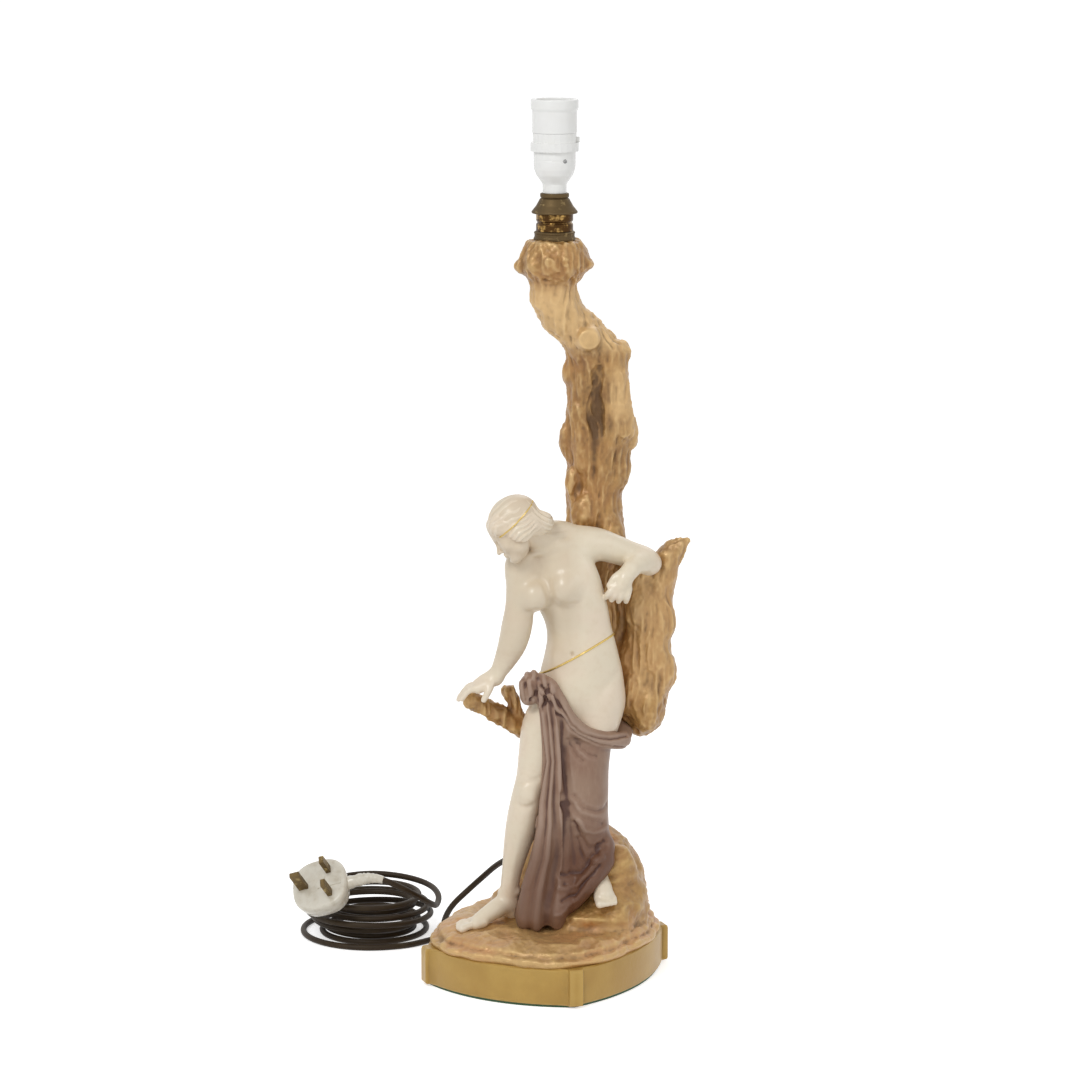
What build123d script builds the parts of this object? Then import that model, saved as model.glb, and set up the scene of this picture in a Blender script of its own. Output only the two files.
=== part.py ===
from build123d import *
from math import atan2, cos, degrees, hypot, pi, radians, sin, sqrt, tan
import os

os.makedirs("parts", exist_ok=True)

# A ceramic table lamp: a figure leaning on a tree trunk, cast in sections that are joined with slip,
# with a brass gallery and a switched bayonet lampholder on the trunk, and a cord with its plug.
# All sizes are in millimetres. The origin is on the table under the middle of the plinth, +Z is up,
# and the figure faces -Y.

# Driving dimensions
pad_thickness = 2.0
plinth_height = 29.0
plinth_width = 134.0  # between the middles of the corner pilasters, along one pair of sides
plinth_depth = 150.0  # the same, along the other pair
plinth_turn = 28.4  # degrees that the plinth is turned from the figure's front
ledge_height = 15.0
tree_height = 557.0  # from the plinth's top to the seat of the brass gallery
figure_share = 0.6284  # of the tree's height, because the figure leans on the tree and its branch
cap_radius = 11.0  # of the lamp's bayonet cap
cord_radius = 2.5
coil_radius = 62.0  # of the coil's outermost turn, at the cord's middle

# Shared clearances
cut_overrun = 1.0  # how far a cut runs past the face that it opens
thread_gap = 0.1  # between the threaded tube and what is on it
running_gap = 0.15  # between a moving piece and its hole, all round
free_gap = 0.3  # between pieces that pass each other without touching

up = Vector(0, 0, 1)
away = Vector(0, 1, 0)
plinth_top = pad_thickness + plinth_height
figure_height = figure_share * tree_height  # of the figure if it stood up straight


def save(piece, name):
    """Labels a finished piece and writes it as one STEP file."""
    piece.part.label = name
    export_step(piece.part, f"parts/{name}.step")


def wave_rim(sides, waves=0, wave_share=0.0):
    """The corners of a unit outline, with bark ridges or folds as waves round it."""
    turns = [2 * pi * side / sides for side in range(sides)]
    return [Vector(cos(t), sin(t)) * (1 + wave_share * cos(waves * t)) for t in turns]


def skin(rings, bored=False):
    """A closed solid over rings of points: two facets a side, and flat caps unless it is bored through."""
    if bored:
        facets = []
        rings = [*rings, rings[0]]
    else:
        facets = [Face(Wire.make_polygon(rings[0])), Face(Wire.make_polygon(rings[-1]))]
    for lower, upper in zip(rings, rings[1:]):
        for side in range(len(lower)):
            ahead = (side + 1) % len(lower)
            facets.append(Face(Wire.make_polygon([lower[side], lower[ahead], upper[side]])))
            facets.append(Face(Wire.make_polygon([lower[ahead], upper[ahead], upper[side]])))
    with BuildPart() as piece:
        add(Solid(Shell(facets)))
    return piece


def limb(shares, unit, rim):
    """A modelled form through stations of (x, y, z, half width, half depth), in shares of a size."""
    points = [Vector(x, y, z) * unit + up * plinth_top for x, y, z, wide, deep in shares]
    rings = []
    for index, (x, y, z, wide, deep) in enumerate(shares):
        run = points[min(index + 1, len(points) - 1)] - points[max(index - 1, 0)]
        station = Plane(points[index], x_dir=away.cross(run), z_dir=run)
        rings.append([station.from_local_coords((p.X * wide * unit, p.Y * deep * unit)) for p in rim])
    return skin(rings)


def cut_by(piece, *others):
    """Cuts the neighbours out of a piece, so that it meets them face to face."""
    with BuildPart() as trimmed:
        add(piece.part)
        for other in others:
            add(other.part, mode=Mode.SUBTRACT)
        if len(trimmed.solids()) > 1:
            add(trimmed.solids().sort_by(SortBy.VOLUME)[-1], mode=Mode.REPLACE)
    return trimmed


# Plinth: bowed sides between four flat pilasters, hollow underneath and closed by a baize pad
plinth_bow = 17.0
pilaster_width = 12.0
pilaster_proud = 2.5
plinth_wall = 7.0
plinth_roof = 8.0
pad_inset = 2.0

plinth_plane = Plane.XY.rotated((0, 0, -plinth_turn))


def bowed_outline(inset):
    """The plan between the pilasters: four sides that bow outwards."""
    x = plinth_width / 2 - inset
    y = plinth_depth / 2 - inset
    with BuildLine() as sides:
        ThreePointArc((-x, -y), (0, -y - plinth_bow), (x, -y))
        ThreePointArc((x, -y), (x + plinth_bow, 0), (x, y))
        ThreePointArc((x, y), (0, y + plinth_bow), (-x, y))
        ThreePointArc((-x, y), (-x - plinth_bow, 0), (-x, -y))
    make_face(sides.edges())


def pilasters():
    """The flat strip that stands proud of each corner."""
    reach = hypot(plinth_width, plinth_depth) / 2 + pilaster_proud
    slant = degrees(atan2(plinth_depth, plinth_width))
    for turn in (slant, 180 - slant, 180 + slant, -slant):
        with Locations(Location((0, 0, 0), (0, 0, turn))):
            with Locations((reach - pilaster_width / 2, 0)):
                Rectangle(pilaster_width, pilaster_width)


with BuildPart() as plinth:
    with BuildSketch(plinth_plane.offset(pad_thickness)):
        bowed_outline(0)
        pilasters()
    extrude(amount=plinth_height)
    with BuildSketch(plinth_plane.offset(pad_thickness)):
        bowed_outline(plinth_wall)
    extrude(amount=plinth_height - plinth_roof, mode=Mode.SUBTRACT)

with BuildPart() as base_pad:
    with BuildSketch(plinth_plane):
        bowed_outline(pad_inset)
    extrude(amount=pad_thickness)

# Ground: a rocky ledge over the plinth, and the boulder that the tree stands on
ledge_rim_shares = [
    0.97, 0.93, 0.98, 0.95, 0.99, 0.94, 0.98, 0.97, 0.92, 0.99, 0.95, 0.98,
    0.93, 0.97, 0.99, 0.94, 0.98, 0.95, 0.99, 0.96, 0.92, 0.98, 0.94, 0.99,
]
ledge_step_shares = [(0.0, 0.98), (0.40, 0.96), (0.80, 0.88), (1.0, 0.76)]
ledge_round = 2.7  # how square the ledge's plan is, with 2 for an ellipse

boulder_shares = [
    (0.038, 0.048, 0.010, 0.110, 0.088),
    (0.040, 0.050, 0.045, 0.106, 0.086),
    (0.042, 0.052, 0.080, 0.096, 0.078),
    (0.046, 0.052, 0.112, 0.078, 0.066),
    (0.048, 0.050, 0.138, 0.054, 0.050),
    (0.046, 0.048, 0.152, 0.030, 0.030),
]


def ledge_ring(rise_share, spread_share):
    """One level of the ledge: the plinth's plan as a squared ellipse with a broken edge."""
    ring = []
    for side, rim_share in enumerate(ledge_rim_shares):
        turn = 2 * pi * side / len(ledge_rim_shares)
        reach = (abs(cos(turn)) ** ledge_round + abs(sin(turn)) ** ledge_round) ** (-1 / ledge_round)
        spread = reach * rim_share * spread_share
        x = (plinth_width / 2 + plinth_bow) * spread * cos(turn)
        y = (plinth_depth / 2 + plinth_bow) * spread * sin(turn)
        ring.append(plinth_plane.from_local_coords((x, y, plinth_top + rise_share * ledge_height)))
    return ring


# Tree: stations in shares of the tree's height
trunk_shares = [
    (0.025, 0.045, 0.020, 0.062, 0.056),
    (0.025, 0.048, 0.085, 0.054, 0.050),
    (0.031, 0.050, 0.170, 0.043, 0.041),
    (0.041, 0.050, 0.250, 0.043, 0.041),
    (0.059, 0.050, 0.325, 0.051, 0.044),
    (0.069, 0.048, 0.400, 0.049, 0.043),
    (0.072, 0.043, 0.480, 0.045, 0.041),
    (0.073, 0.040, 0.555, 0.043, 0.040),
    (0.068, 0.036, 0.626, 0.039, 0.037),
    (0.073, 0.033, 0.680, 0.042, 0.038),
    (0.076, 0.031, 0.725, 0.045, 0.040),
    (0.072, 0.029, 0.772, 0.043, 0.039),
    (0.071, 0.026, 0.818, 0.043, 0.038),
    (0.069, 0.023, 0.850, 0.036, 0.034),
    (0.060, 0.021, 0.872, 0.022, 0.022),
]
crook_shares = [
    (0.079, 0.020, 0.826, 0.036, 0.036),
    (0.066, 0.016, 0.850, 0.036, 0.035),
    (0.044, 0.010, 0.873, 0.031, 0.031),
    (0.023, 0.005, 0.893, 0.031, 0.031),
    (0.012, 0.002, 0.920, 0.032, 0.032),
    (0.010, 0.000, 0.945, 0.033, 0.033),
    (0.010, 0.000, 0.962, 0.038, 0.038),
]
burl_shares = [
    (0.010, 0.000, 0.945, 0.035, 0.035),
    (0.011, 0.000, 0.958, 0.049, 0.047),
    (0.012, 0.000, 0.968, 0.054, 0.052),
    (0.012, 0.000, 0.980, 0.051, 0.050),
    (0.012, 0.000, 0.992, 0.043, 0.043),
    (0.012, 0.000, 1.000, 0.039, 0.039),
]
stump_shares = [
    (0.137, 0.022, 0.316, 0.018, 0.014),
    (0.140, 0.022, 0.328, 0.033, 0.027),
    (0.142, 0.022, 0.362, 0.038, 0.031),
    (0.144, 0.022, 0.420, 0.036, 0.031),
    (0.146, 0.020, 0.476, 0.036, 0.029),
    (0.158, 0.018, 0.514, 0.029, 0.024),
    (0.171, 0.018, 0.542, 0.020, 0.018),
    (0.182, 0.018, 0.562, 0.015, 0.013),
    (0.192, 0.018, 0.574, 0.005, 0.006),
]
branch_shares = [
    (0.040, 0.035, 0.262, 0.018, 0.018),
    (-0.002, 0.014, 0.288, 0.017, 0.017),
    (-0.032, 0.002, 0.305, 0.015, 0.015),
    (-0.070, -0.014, 0.329, 0.013, 0.013),
    (-0.106, -0.028, 0.352, 0.012, 0.012),
]
twig_shares = [
    (-0.034, 0.000, 0.308, 0.010, 0.010),
    (-0.042, -0.003, 0.335, 0.008, 0.008),
    (-0.053, -0.008, 0.362, 0.009, 0.009),
]
cleft_shares = [
    (0.074, -0.012, 0.812, 0.008, 0.012),
    (0.071, -0.010, 0.780, 0.011, 0.013),
    (0.073, -0.010, 0.735, 0.010, 0.013),
    (0.078, -0.012, 0.700, 0.006, 0.010),
]
knot_shares = [
    (0.060, 0.000, 0.864, 0.016, 0.016),
    (0.057, -0.022, 0.866, 0.017, 0.017),
    (0.056, -0.034, 0.867, 0.012, 0.012),
]

# Figure: stations in shares of the figure's height
torso_shares = [
    (0.088, -0.022, 0.500, 0.074, 0.062),
    (0.081, -0.028, 0.556, 0.097, 0.077),
    (0.080, -0.034, 0.623, 0.094, 0.069),
    (0.078, -0.043, 0.686, 0.080, 0.056),
    (0.066, -0.051, 0.743, 0.083, 0.057),
    (0.049, -0.058, 0.794, 0.091, 0.068),
    (0.030, -0.062, 0.846, 0.102, 0.062),
    (0.016, -0.066, 0.892, 0.096, 0.048),
    (0.001, -0.069, 0.928, 0.058, 0.040),
    (-0.014, -0.078, 0.954, 0.028, 0.031),
]
arm_right_shares = [
    (-0.062, -0.074, 0.884, 0.026, 0.026),
    (-0.069, -0.080, 0.856, 0.037, 0.037),
    (-0.065, -0.086, 0.800, 0.034, 0.034),
    (-0.066, -0.082, 0.737, 0.036, 0.031),
    (-0.081, -0.075, 0.680, 0.032, 0.028),
    (-0.100, -0.069, 0.637, 0.024, 0.022),
    (-0.117, -0.063, 0.609, 0.020, 0.018),
]
hand_right_shares = [
    (-0.112, -0.064, 0.612, 0.018, 0.018),
    (-0.137, -0.062, 0.598, 0.017, 0.022),
    (-0.160, -0.062, 0.590, 0.015, 0.024),
    (-0.180, -0.064, 0.572, 0.012, 0.022),
]
arm_left_shares = [
    (0.060, -0.050, 0.922, 0.030, 0.028),
    (0.098, -0.041, 0.925, 0.037, 0.034),
    (0.158, -0.026, 0.902, 0.032, 0.030),
    (0.216, -0.009, 0.878, 0.026, 0.026),
    (0.228, -0.020, 0.866, 0.025, 0.025),
]
forearm_left_shares = [
    (0.226, -0.006, 0.868, 0.020, 0.024),
    (0.204, -0.040, 0.855, 0.024, 0.022),
    (0.184, -0.066, 0.840, 0.017, 0.017),
]
hand_left_shares = [
    (0.188, -0.062, 0.844, 0.015, 0.015),
    (0.175, -0.073, 0.826, 0.022, 0.016),
    (0.166, -0.076, 0.800, 0.022, 0.013),
    (0.163, -0.074, 0.780, 0.014, 0.010),
]
leg_right_shares = [
    (0.010, -0.050, 0.560, 0.054, 0.060),
    (-0.012, -0.060, 0.500, 0.052, 0.056),
    (-0.024, -0.068, 0.440, 0.044, 0.048),
    (-0.038, -0.074, 0.390, 0.035, 0.039),
    (-0.050, -0.070, 0.330, 0.038, 0.039),
    (-0.060, -0.062, 0.265, 0.038, 0.038),
    (-0.072, -0.052, 0.190, 0.029, 0.030),
    (-0.082, -0.045, 0.135, 0.022, 0.023),
    (-0.084, -0.038, 0.070, 0.022, 0.028),
]
foot_right_shares = [
    (-0.056, -0.020, 0.062, 0.014, 0.016),
    (-0.075, -0.030, 0.075, 0.028, 0.022),
    (-0.105, -0.048, 0.072, 0.024, 0.023),
    (-0.145, -0.072, 0.058, 0.014, 0.026),
    (-0.180, -0.092, 0.052, 0.009, 0.024),
    (-0.198, -0.100, 0.050, 0.005, 0.016),
]
head_shares = [
    (-0.112, -0.158, 0.893, 0.012, 0.012),
    (-0.106, -0.150, 0.905, 0.028, 0.026),
    (-0.094, -0.135, 0.932, 0.042, 0.046),
    (-0.082, -0.120, 0.964, 0.050, 0.058),
    (-0.072, -0.105, 0.995, 0.050, 0.058),
    (-0.064, -0.092, 1.020, 0.038, 0.044),
    (-0.060, -0.086, 1.032, 0.018, 0.022),
]
hair_shares = [
    (-0.074, -0.080, 0.940, 0.034, 0.030),
    (-0.066, -0.084, 0.965, 0.060, 0.058),
    (-0.062, -0.086, 0.995, 0.064, 0.064),
    (-0.058, -0.086, 1.022, 0.052, 0.052),
    (-0.058, -0.084, 1.040, 0.022, 0.024),
]
hair_bun_shares = [
    (-0.050, -0.060, 0.985, 0.028, 0.026),
    (-0.030, -0.050, 0.990, 0.032, 0.030),
    (-0.012, -0.044, 0.990, 0.022, 0.022),
]
foot_left_shares = [
    (0.090, -0.040, 0.150, 0.024, 0.026),
    (0.102, -0.070, 0.140, 0.020, 0.026),
    (0.112, -0.094, 0.130, 0.012, 0.024),
    (0.116, -0.106, 0.126, 0.006, 0.016),
]
neck_shares = [
    (0.000, -0.062, 0.925, 0.030, 0.030),
    (-0.020, -0.075, 0.945, 0.026, 0.027),
    (-0.045, -0.092, 0.962, 0.026, 0.028),
]
drape_shares = [
    (0.017, -0.046, 0.043, 0.077, 0.069),
    (0.022, -0.046, 0.090, 0.077, 0.069),
    (0.040, -0.043, 0.169, 0.082, 0.070),
    (0.056, -0.041, 0.240, 0.082, 0.071),
    (0.061, -0.040, 0.311, 0.079, 0.072),
    (0.070, -0.038, 0.397, 0.072, 0.072),
    (0.077, -0.034, 0.466, 0.079, 0.074),
    (0.084, -0.030, 0.510, 0.084, 0.074),
]
drape_fold_shares = [
    1.00, 0.97, 1.02, 0.97, 1.02, 0.96, 1.02, 0.96, 1.02, 0.97, 1.02, 0.97,
    1.03, 0.92, 1.08, 0.92, 1.12, 0.94, 1.14, 0.96, 1.12, 1.00, 1.04, 0.98,
]
drape_roll_shares = [
    (-0.019, -0.104, 0.630, 0.018, 0.018),
    (-0.009, -0.112, 0.597, 0.026, 0.022),
    (0.011, -0.117, 0.560, 0.026, 0.021),
    (0.040, -0.120, 0.520, 0.020, 0.020),
    (0.080, -0.112, 0.491, 0.019, 0.019),
    (0.120, -0.098, 0.477, 0.019, 0.019),
    (0.154, -0.075, 0.470, 0.020, 0.020),
    (0.176, -0.038, 0.467, 0.020, 0.021),
    (0.174, 0.002, 0.474, 0.020, 0.020),
]

# Casting sections, each cut by the ones that it is joined to
bark = wave_rim(16, 8, 0.06)
plain = wave_rim(10)
ledge = skin([ledge_ring(*step) for step in ledge_step_shares])
boulder = cut_by(limb(boulder_shares, tree_height, wave_rim(16, 5, 0.06)), ledge)
burl = limb(burl_shares, tree_height, wave_rim(16, 5, 0.05))
crook = cut_by(limb(crook_shares, tree_height, bark), burl)
trunk = cut_by(
    limb(trunk_shares, tree_height, bark), limb(cleft_shares, tree_height, wave_rim(8)), crook, ledge, boulder,
)
knot = cut_by(limb(knot_shares, tree_height, wave_rim(12)), crook, trunk)
stump = cut_by(limb(stump_shares, tree_height, wave_rim(14, 7, 0.07)), trunk)
branch = cut_by(limb(branch_shares, tree_height, wave_rim(10, 3, 0.06)), trunk)
twig = cut_by(limb(twig_shares, tree_height, wave_rim(8)), branch)

torso = cut_by(limb(torso_shares, figure_height, wave_rim(16)), trunk, stump)
neck = cut_by(limb(neck_shares, figure_height, plain), torso)
head = cut_by(limb(head_shares, figure_height, wave_rim(14)), neck, torso)
hair = cut_by(limb(hair_shares, figure_height, wave_rim(12)), head, neck, torso)
hair_bun = cut_by(limb(hair_bun_shares, figure_height, plain), hair, head, neck)
arm_right = cut_by(limb(arm_right_shares, figure_height, plain), torso)
hand_right = cut_by(limb(hand_right_shares, figure_height, plain), arm_right, branch, twig)
arm_left = cut_by(limb(arm_left_shares, figure_height, plain), torso, trunk, stump)
forearm_left = cut_by(limb(forearm_left_shares, figure_height, plain), arm_left, stump, torso)
hand_left = cut_by(limb(hand_left_shares, figure_height, plain), forearm_left, stump, torso)
leg_right = cut_by(limb(leg_right_shares, figure_height, wave_rim(12)), torso, ledge, boulder, trunk, branch)
foot_right = cut_by(limb(foot_right_shares, figure_height, plain), leg_right, ledge, boulder)
foot_left = cut_by(limb(foot_left_shares, figure_height, plain), boulder)
drape_roll = cut_by(limb(drape_roll_shares, figure_height, plain), torso, leg_right, trunk)
drape_rim = [corner * fold_share for corner, fold_share in zip(wave_rim(24), drape_fold_shares)]
drape = cut_by(
    limb(drape_shares, figure_height, drape_rim),
    drape_roll, torso, leg_right, foot_right, foot_left, trunk, branch, boulder, ledge,
)

# Brass gallery: a flanged drum with a groove and a flared cone, on a threaded tube in the burl
gallery_flange_radius = 16.2
gallery_flange_height = 7.0
gallery_drum_radius = 14.7
gallery_drum_height = 14.0
gallery_groove = 1.2
gallery_lip = 1.5
cone_rim_radius = 17.7
cone_height = 12.0
cone_band = 2.0
neck_ring_radius = 10.9
neck_ring_height = 3.5
tube_radius = 5.0
tube_bore = 3.6
tube_depth = 20.0  # of the threaded tube below the gallery's seat

# Lampholder: a cup on the threaded tube, a switch body with a push bar, a barrel and a skirt
holder_neck_radius = 9.3
holder_neck_height = 7.5
cup_radius = 16.2
cup_height = 32.4
cup_shoulder_height = 19.2
holder_wall = 2.0
body_flange_radius = 18.8
body_flange_height = 6.8
body_radius = 17.0
body_height = 14.0
spigot_height = 3.0
bar_width = 4.0
bar_length = 36.0
bar_travel = 2.5
bar_chamfer = 0.8
bar_rise = 8.9  # of the push bar's middle above the cup
skirt_radius = 17.4
skirt_height = 26.0
skirt_rim_radius = 18.4
skirt_rim_height = 8.0
barrel_gap = 0.2  # between the lamp's cap and the barrel
barrel_wall = 1.2
barrel_relief = 0.4  # by which the bore widens below the mouth
barrel_height = 25.0
slot_width = 2.6
slot_depth = 11.0
slot_turn = 5.0
slot_notch = 1.4
block_height = 10.0
plunger_pitch = 12.0
plunger_collar_radius = 2.4
plunger_collar_height = 1.5
plunger_tip_radius = 1.7
plunger_reach = 5.0  # of the tip above the contact block
plunger_travel = 4.0
spring_radius = 2.2
spring_wire = 0.7
block_roof = 2.0
screw_radius = 1.6
screw_proud = 0.5
screw_rise = 25.5
screw_turn = 29.0

turned_sides = 24
small_sides = 12

seat = Vector(*burl_shares[-1][:3]) * tree_height + up * plinth_top
cone_base = gallery_flange_height + gallery_drum_height
groove_rise = gallery_flange_height + gallery_drum_height / 2
cup_base = cone_base + cone_height + neck_ring_height
body_base = cup_base + cup_height
barrel_base = body_base + body_height
barrel_bore = cap_radius + barrel_gap
mouth_height = barrel_height - block_height - plunger_reach - running_gap


def turned(foot, sides, outline, bored=False):
    """A piece turned about an upright axis, from the (radius, height) points of its half section."""
    turns = [2 * pi * side / sides for side in range(sides)]
    rings = [[foot + Vector(r * cos(t), r * sin(t), rise) for t in turns] for r, rise in outline]
    return skin(rings, bored)


threaded_tube = turned(seat, small_sides, [
    (tube_bore, -tube_depth),
    (tube_radius, -tube_depth),
    (tube_radius, cup_base + holder_neck_height),
    (tube_bore, cup_base + holder_neck_height),
], bored=True)
burl = cut_by(burl, turned(seat, small_sides, [(tube_radius, -tube_depth), (tube_radius, cut_overrun)]))
gallery = turned(seat, turned_sides, [
    (tube_radius + thread_gap, 0),
    (gallery_flange_radius, 0),
    (gallery_flange_radius, gallery_flange_height - gallery_lip),
    (gallery_drum_radius, gallery_flange_height),
    (gallery_drum_radius, groove_rise - gallery_groove),
    (gallery_drum_radius - gallery_groove, groove_rise),
    (gallery_drum_radius, groove_rise + gallery_groove),
    (gallery_drum_radius, cone_base),
    (tube_radius + thread_gap, cone_base),
], bored=True)
gallery_cone = turned(seat, turned_sides, [
    (tube_radius + thread_gap, cone_base),
    (cone_rim_radius, cone_base),
    (cone_rim_radius, cone_base + cone_band),
    (neck_ring_radius, cone_base + cone_height),
    (neck_ring_radius, cup_base),
    (tube_radius + thread_gap, cup_base),
], bored=True)
holder_cup = turned(seat, turned_sides, [
    (tube_radius + thread_gap, cup_base),
    (holder_neck_radius, cup_base),
    (holder_neck_radius, cup_base + holder_neck_height),
    (cup_radius, cup_base + cup_shoulder_height),
    (cup_radius, body_base),
    (cup_radius - holder_wall, body_base),
    (cup_radius - holder_wall, cup_base + cup_shoulder_height),
    (tube_radius + thread_gap, cup_base + holder_neck_height + holder_wall),
], bored=True)

# The cup's locking screw stands a little proud of the cup, to the right of the front
screw_angle = radians(screw_turn - 90)
screw_out = Vector(cos(screw_angle), sin(screw_angle), 0)
screw_plane = Plane(seat + up * (cup_base + screw_rise) + screw_out * (cup_radius + screw_proud), z_dir=screw_out)
with BuildPart() as cup_screw:
    with BuildSketch(screw_plane):
        RegularPolygon(screw_radius, small_sides)
    extrude(amount=-holder_wall - screw_proud)
holder_cup = cut_by(holder_cup, cup_screw)

bar_plane = Plane(seat + up * (body_base + bar_rise), x_dir=(0, 1, 0), z_dir=(1, 0, 0))
switch_body = turned(seat, turned_sides, [
    (cup_radius - holder_wall, body_base - spigot_height),
    (cup_radius - holder_wall, body_base),
    (body_flange_radius, body_base),
    (body_flange_radius, body_base + body_flange_height),
    (body_radius, body_base + body_flange_height),
    (body_radius, barrel_base),
])
with BuildPart() as bar_hole:
    with BuildSketch(bar_plane):
        Rectangle(bar_width + 2 * running_gap, bar_width + 2 * running_gap)
    extrude(amount=body_flange_radius, both=True)
switch_body = cut_by(switch_body, bar_hole)
with BuildPart() as switch_bar:
    with BuildSketch(bar_plane.offset((bar_travel - bar_length) / 2)):
        Rectangle(bar_width, bar_width)
    extrude(amount=bar_length)
    chamfer(switch_bar.edges().filter_by(Axis.X), bar_chamfer)

holder_skirt = turned(seat, turned_sides, [
    (body_radius - holder_wall, barrel_base),
    (skirt_radius, barrel_base),
    (skirt_radius, barrel_base + skirt_height - skirt_rim_height),
    (skirt_rim_radius, barrel_base + skirt_height - skirt_rim_height),
    (skirt_rim_radius, barrel_base + skirt_height),
    (body_radius - holder_wall, barrel_base + skirt_height),
], bored=True)
with BuildPart() as holder_barrel:
    with BuildSketch(Plane(seat + up * barrel_base)):
        RegularPolygon(barrel_bore + barrel_wall, turned_sides)
        RegularPolygon(barrel_bore + barrel_relief, turned_sides, mode=Mode.SUBTRACT)
    extrude(amount=barrel_height - mouth_height)
    with BuildSketch(Plane(seat + up * (barrel_base + barrel_height - mouth_height))):
        RegularPolygon(barrel_bore + barrel_wall, turned_sides)
        Circle(barrel_bore, mode=Mode.SUBTRACT)
    extrude(amount=mouth_height)
with BuildPart() as bayonet_slots:
    for side in (1, -1):
        face = Plane(seat + up * (barrel_base + barrel_height), x_dir=(side, 0, 0), z_dir=(0, -side, 0))
        with BuildSketch(face):
            with BuildLine():
                Polyline(
                    (-slot_width / 2, cut_overrun),
                    (slot_width / 2, cut_overrun),
                    (slot_width / 2, slot_width - slot_depth),
                    (slot_turn - slot_width / 2, slot_width - slot_depth),
                    (slot_turn - slot_width / 2, slot_width - slot_depth + slot_notch),
                    (slot_turn + slot_width / 2, slot_width - slot_depth + slot_notch),
                    (slot_turn + slot_width / 2, -slot_depth),
                    (-slot_width / 2, -slot_depth),
                    close=True,
                )
            make_face()
        extrude(amount=barrel_bore + barrel_wall + cut_overrun)
holder_barrel = cut_by(holder_barrel, bayonet_slots)

contact_block = turned(seat, turned_sides, [
    (barrel_bore + barrel_relief, barrel_base),
    (barrel_bore + barrel_relief, barrel_base + block_height),
])
block_top = barrel_base + block_height
collar_top = block_top - block_roof - free_gap
collar_foot = collar_top - plunger_collar_height
plungers = {}
springs = {}
for side, hand in ((-1, "left"), (1, "right")):
    foot = seat + Vector(side * plunger_pitch / 2, 0, 0)
    contact_block = cut_by(contact_block, turned(foot, small_sides, [
        (plunger_collar_radius + running_gap, barrel_base),
        (plunger_collar_radius + running_gap, block_top - block_roof),
        (plunger_tip_radius + running_gap, block_top - block_roof),
        (plunger_tip_radius + running_gap, block_top),
    ]))
    plungers[hand] = turned(foot, small_sides, [
        (plunger_collar_radius, collar_foot),
        (plunger_collar_radius, collar_top),
        (plunger_tip_radius, collar_top),
        (plunger_tip_radius, block_top + plunger_reach - plunger_tip_radius / 2),
        (plunger_tip_radius / 2, block_top + plunger_reach),
    ])
    springs[hand] = turned(foot, small_sides, [
        (spring_radius - spring_wire, barrel_base),
        (spring_radius, barrel_base),
        (spring_radius, collar_foot),
        (spring_radius - spring_wire, collar_foot),
    ], bored=True)

# Cord: from a bush in the boulder's back, down to the table, round the coil and over it to the plug
cord_sides = 4
bush_flange_radius = 6.5
bush_flange_height = 2.0
bush_spigot_radius = 4.5
bush_spigot_length = 8.0
lead_points = [
    (-10.5, 65.5, 77.0),
    (-21.0, 92.0, 73.0),
    (-38.0, 120.0, 58.7),
    (-52.0, 136.0, 42.0),
    (-66.0, 140.0, 28.0),
    (-79.0, 132.0, 17.5),
    (-85.0, 113.0, 9.0),
]
lead_bend_share = 0.45  # of the shorter run at a corner, taken by its bend
lead_landing = 22.0  # length on the table before the coil begins
coil_x = -146.0
coil_y = 120.0
coil_start = -45.0  # degrees round the coil, from +X, where the lead joins it
coil_layers = 4
coil_half_turns = 3  # in one layer
gap_steps = 1500  # points on the coil, for the gap to itself
coil_layer_rise = 8.0
coil_step = 8.5  # the spiral's steady change of radius in a half turn

# Plug: a moulded three-pin plug that leans on the coil's front, with its pins up
plug_x = -185.0
plug_y = 66.0
plug_z = 55.0
plug_thickness = 19.0
plug_half_width = 24.0
plug_bevel = 2.0
plug_rim_share = 0.93
plug_back_share = 0.9
pin_pitch = 22.2  # from the live and neutral pins up to the earth pin, and between the two
pin_half_pitch = pin_pitch / 2
earth_pin_width = 4.0
earth_pin_depth = 8.0
earth_pin_length = 22.7
pin_width = 6.3
pin_depth = 4.0
pin_length = 17.7
pin_root = 3.0
pin_bevel = 0.8
pin_rise = -9.0  # of the live and neutral pins from the middle of the plug's face
carrier_width = 9.0
carrier_length = 20.0
carrier_proud = 0.6
carrier_depth = 2.0
relief_radius = 5.5
relief_tip_radius = 3.4
relief_length = 10.0
relief_root = 6.0


def biarc(start, start_run, finish, finish_run):
    """Two arcs that leave one point and meet another along the given directions."""
    span = finish - start
    both = start_run + finish_run
    spread = 2 * (1 - start_run.dot(finish_run))
    reach = (sqrt(span.dot(both) ** 2 + spread * span.dot(span)) - span.dot(both)) / spread
    middle = (start + finish + (start_run - finish_run) * reach) * 0.5
    first = TangentArc(start, middle, tangent=start_run)
    TangentArc(middle, finish, tangent=first % 1)


def tube_along(path):
    """The cord's tube along a path, with flats in place of its round."""
    with BuildPart() as tube:
        with BuildSketch(Plane(path @ 0, z_dir=path % 0)):
            RegularPolygon(cord_radius, cord_sides)
        sweep(path=path, clean=False)
    section = cord_sides / 2 * cord_radius ** 2 * sin(2 * pi / cord_sides)
    print("cord length", round(path.length, 1), "volume share", round(tube.part.volume / path.length / section, 4))
    return tube


def coil_place(turn, radius, height):
    """A point on the coil and the direction there, running clockwise as seen from above."""
    angle = radians(turn)
    return Vector(coil_x + radius * cos(angle), coil_y + radius * sin(angle), height), Vector(sin(angle), -cos(angle))


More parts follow.
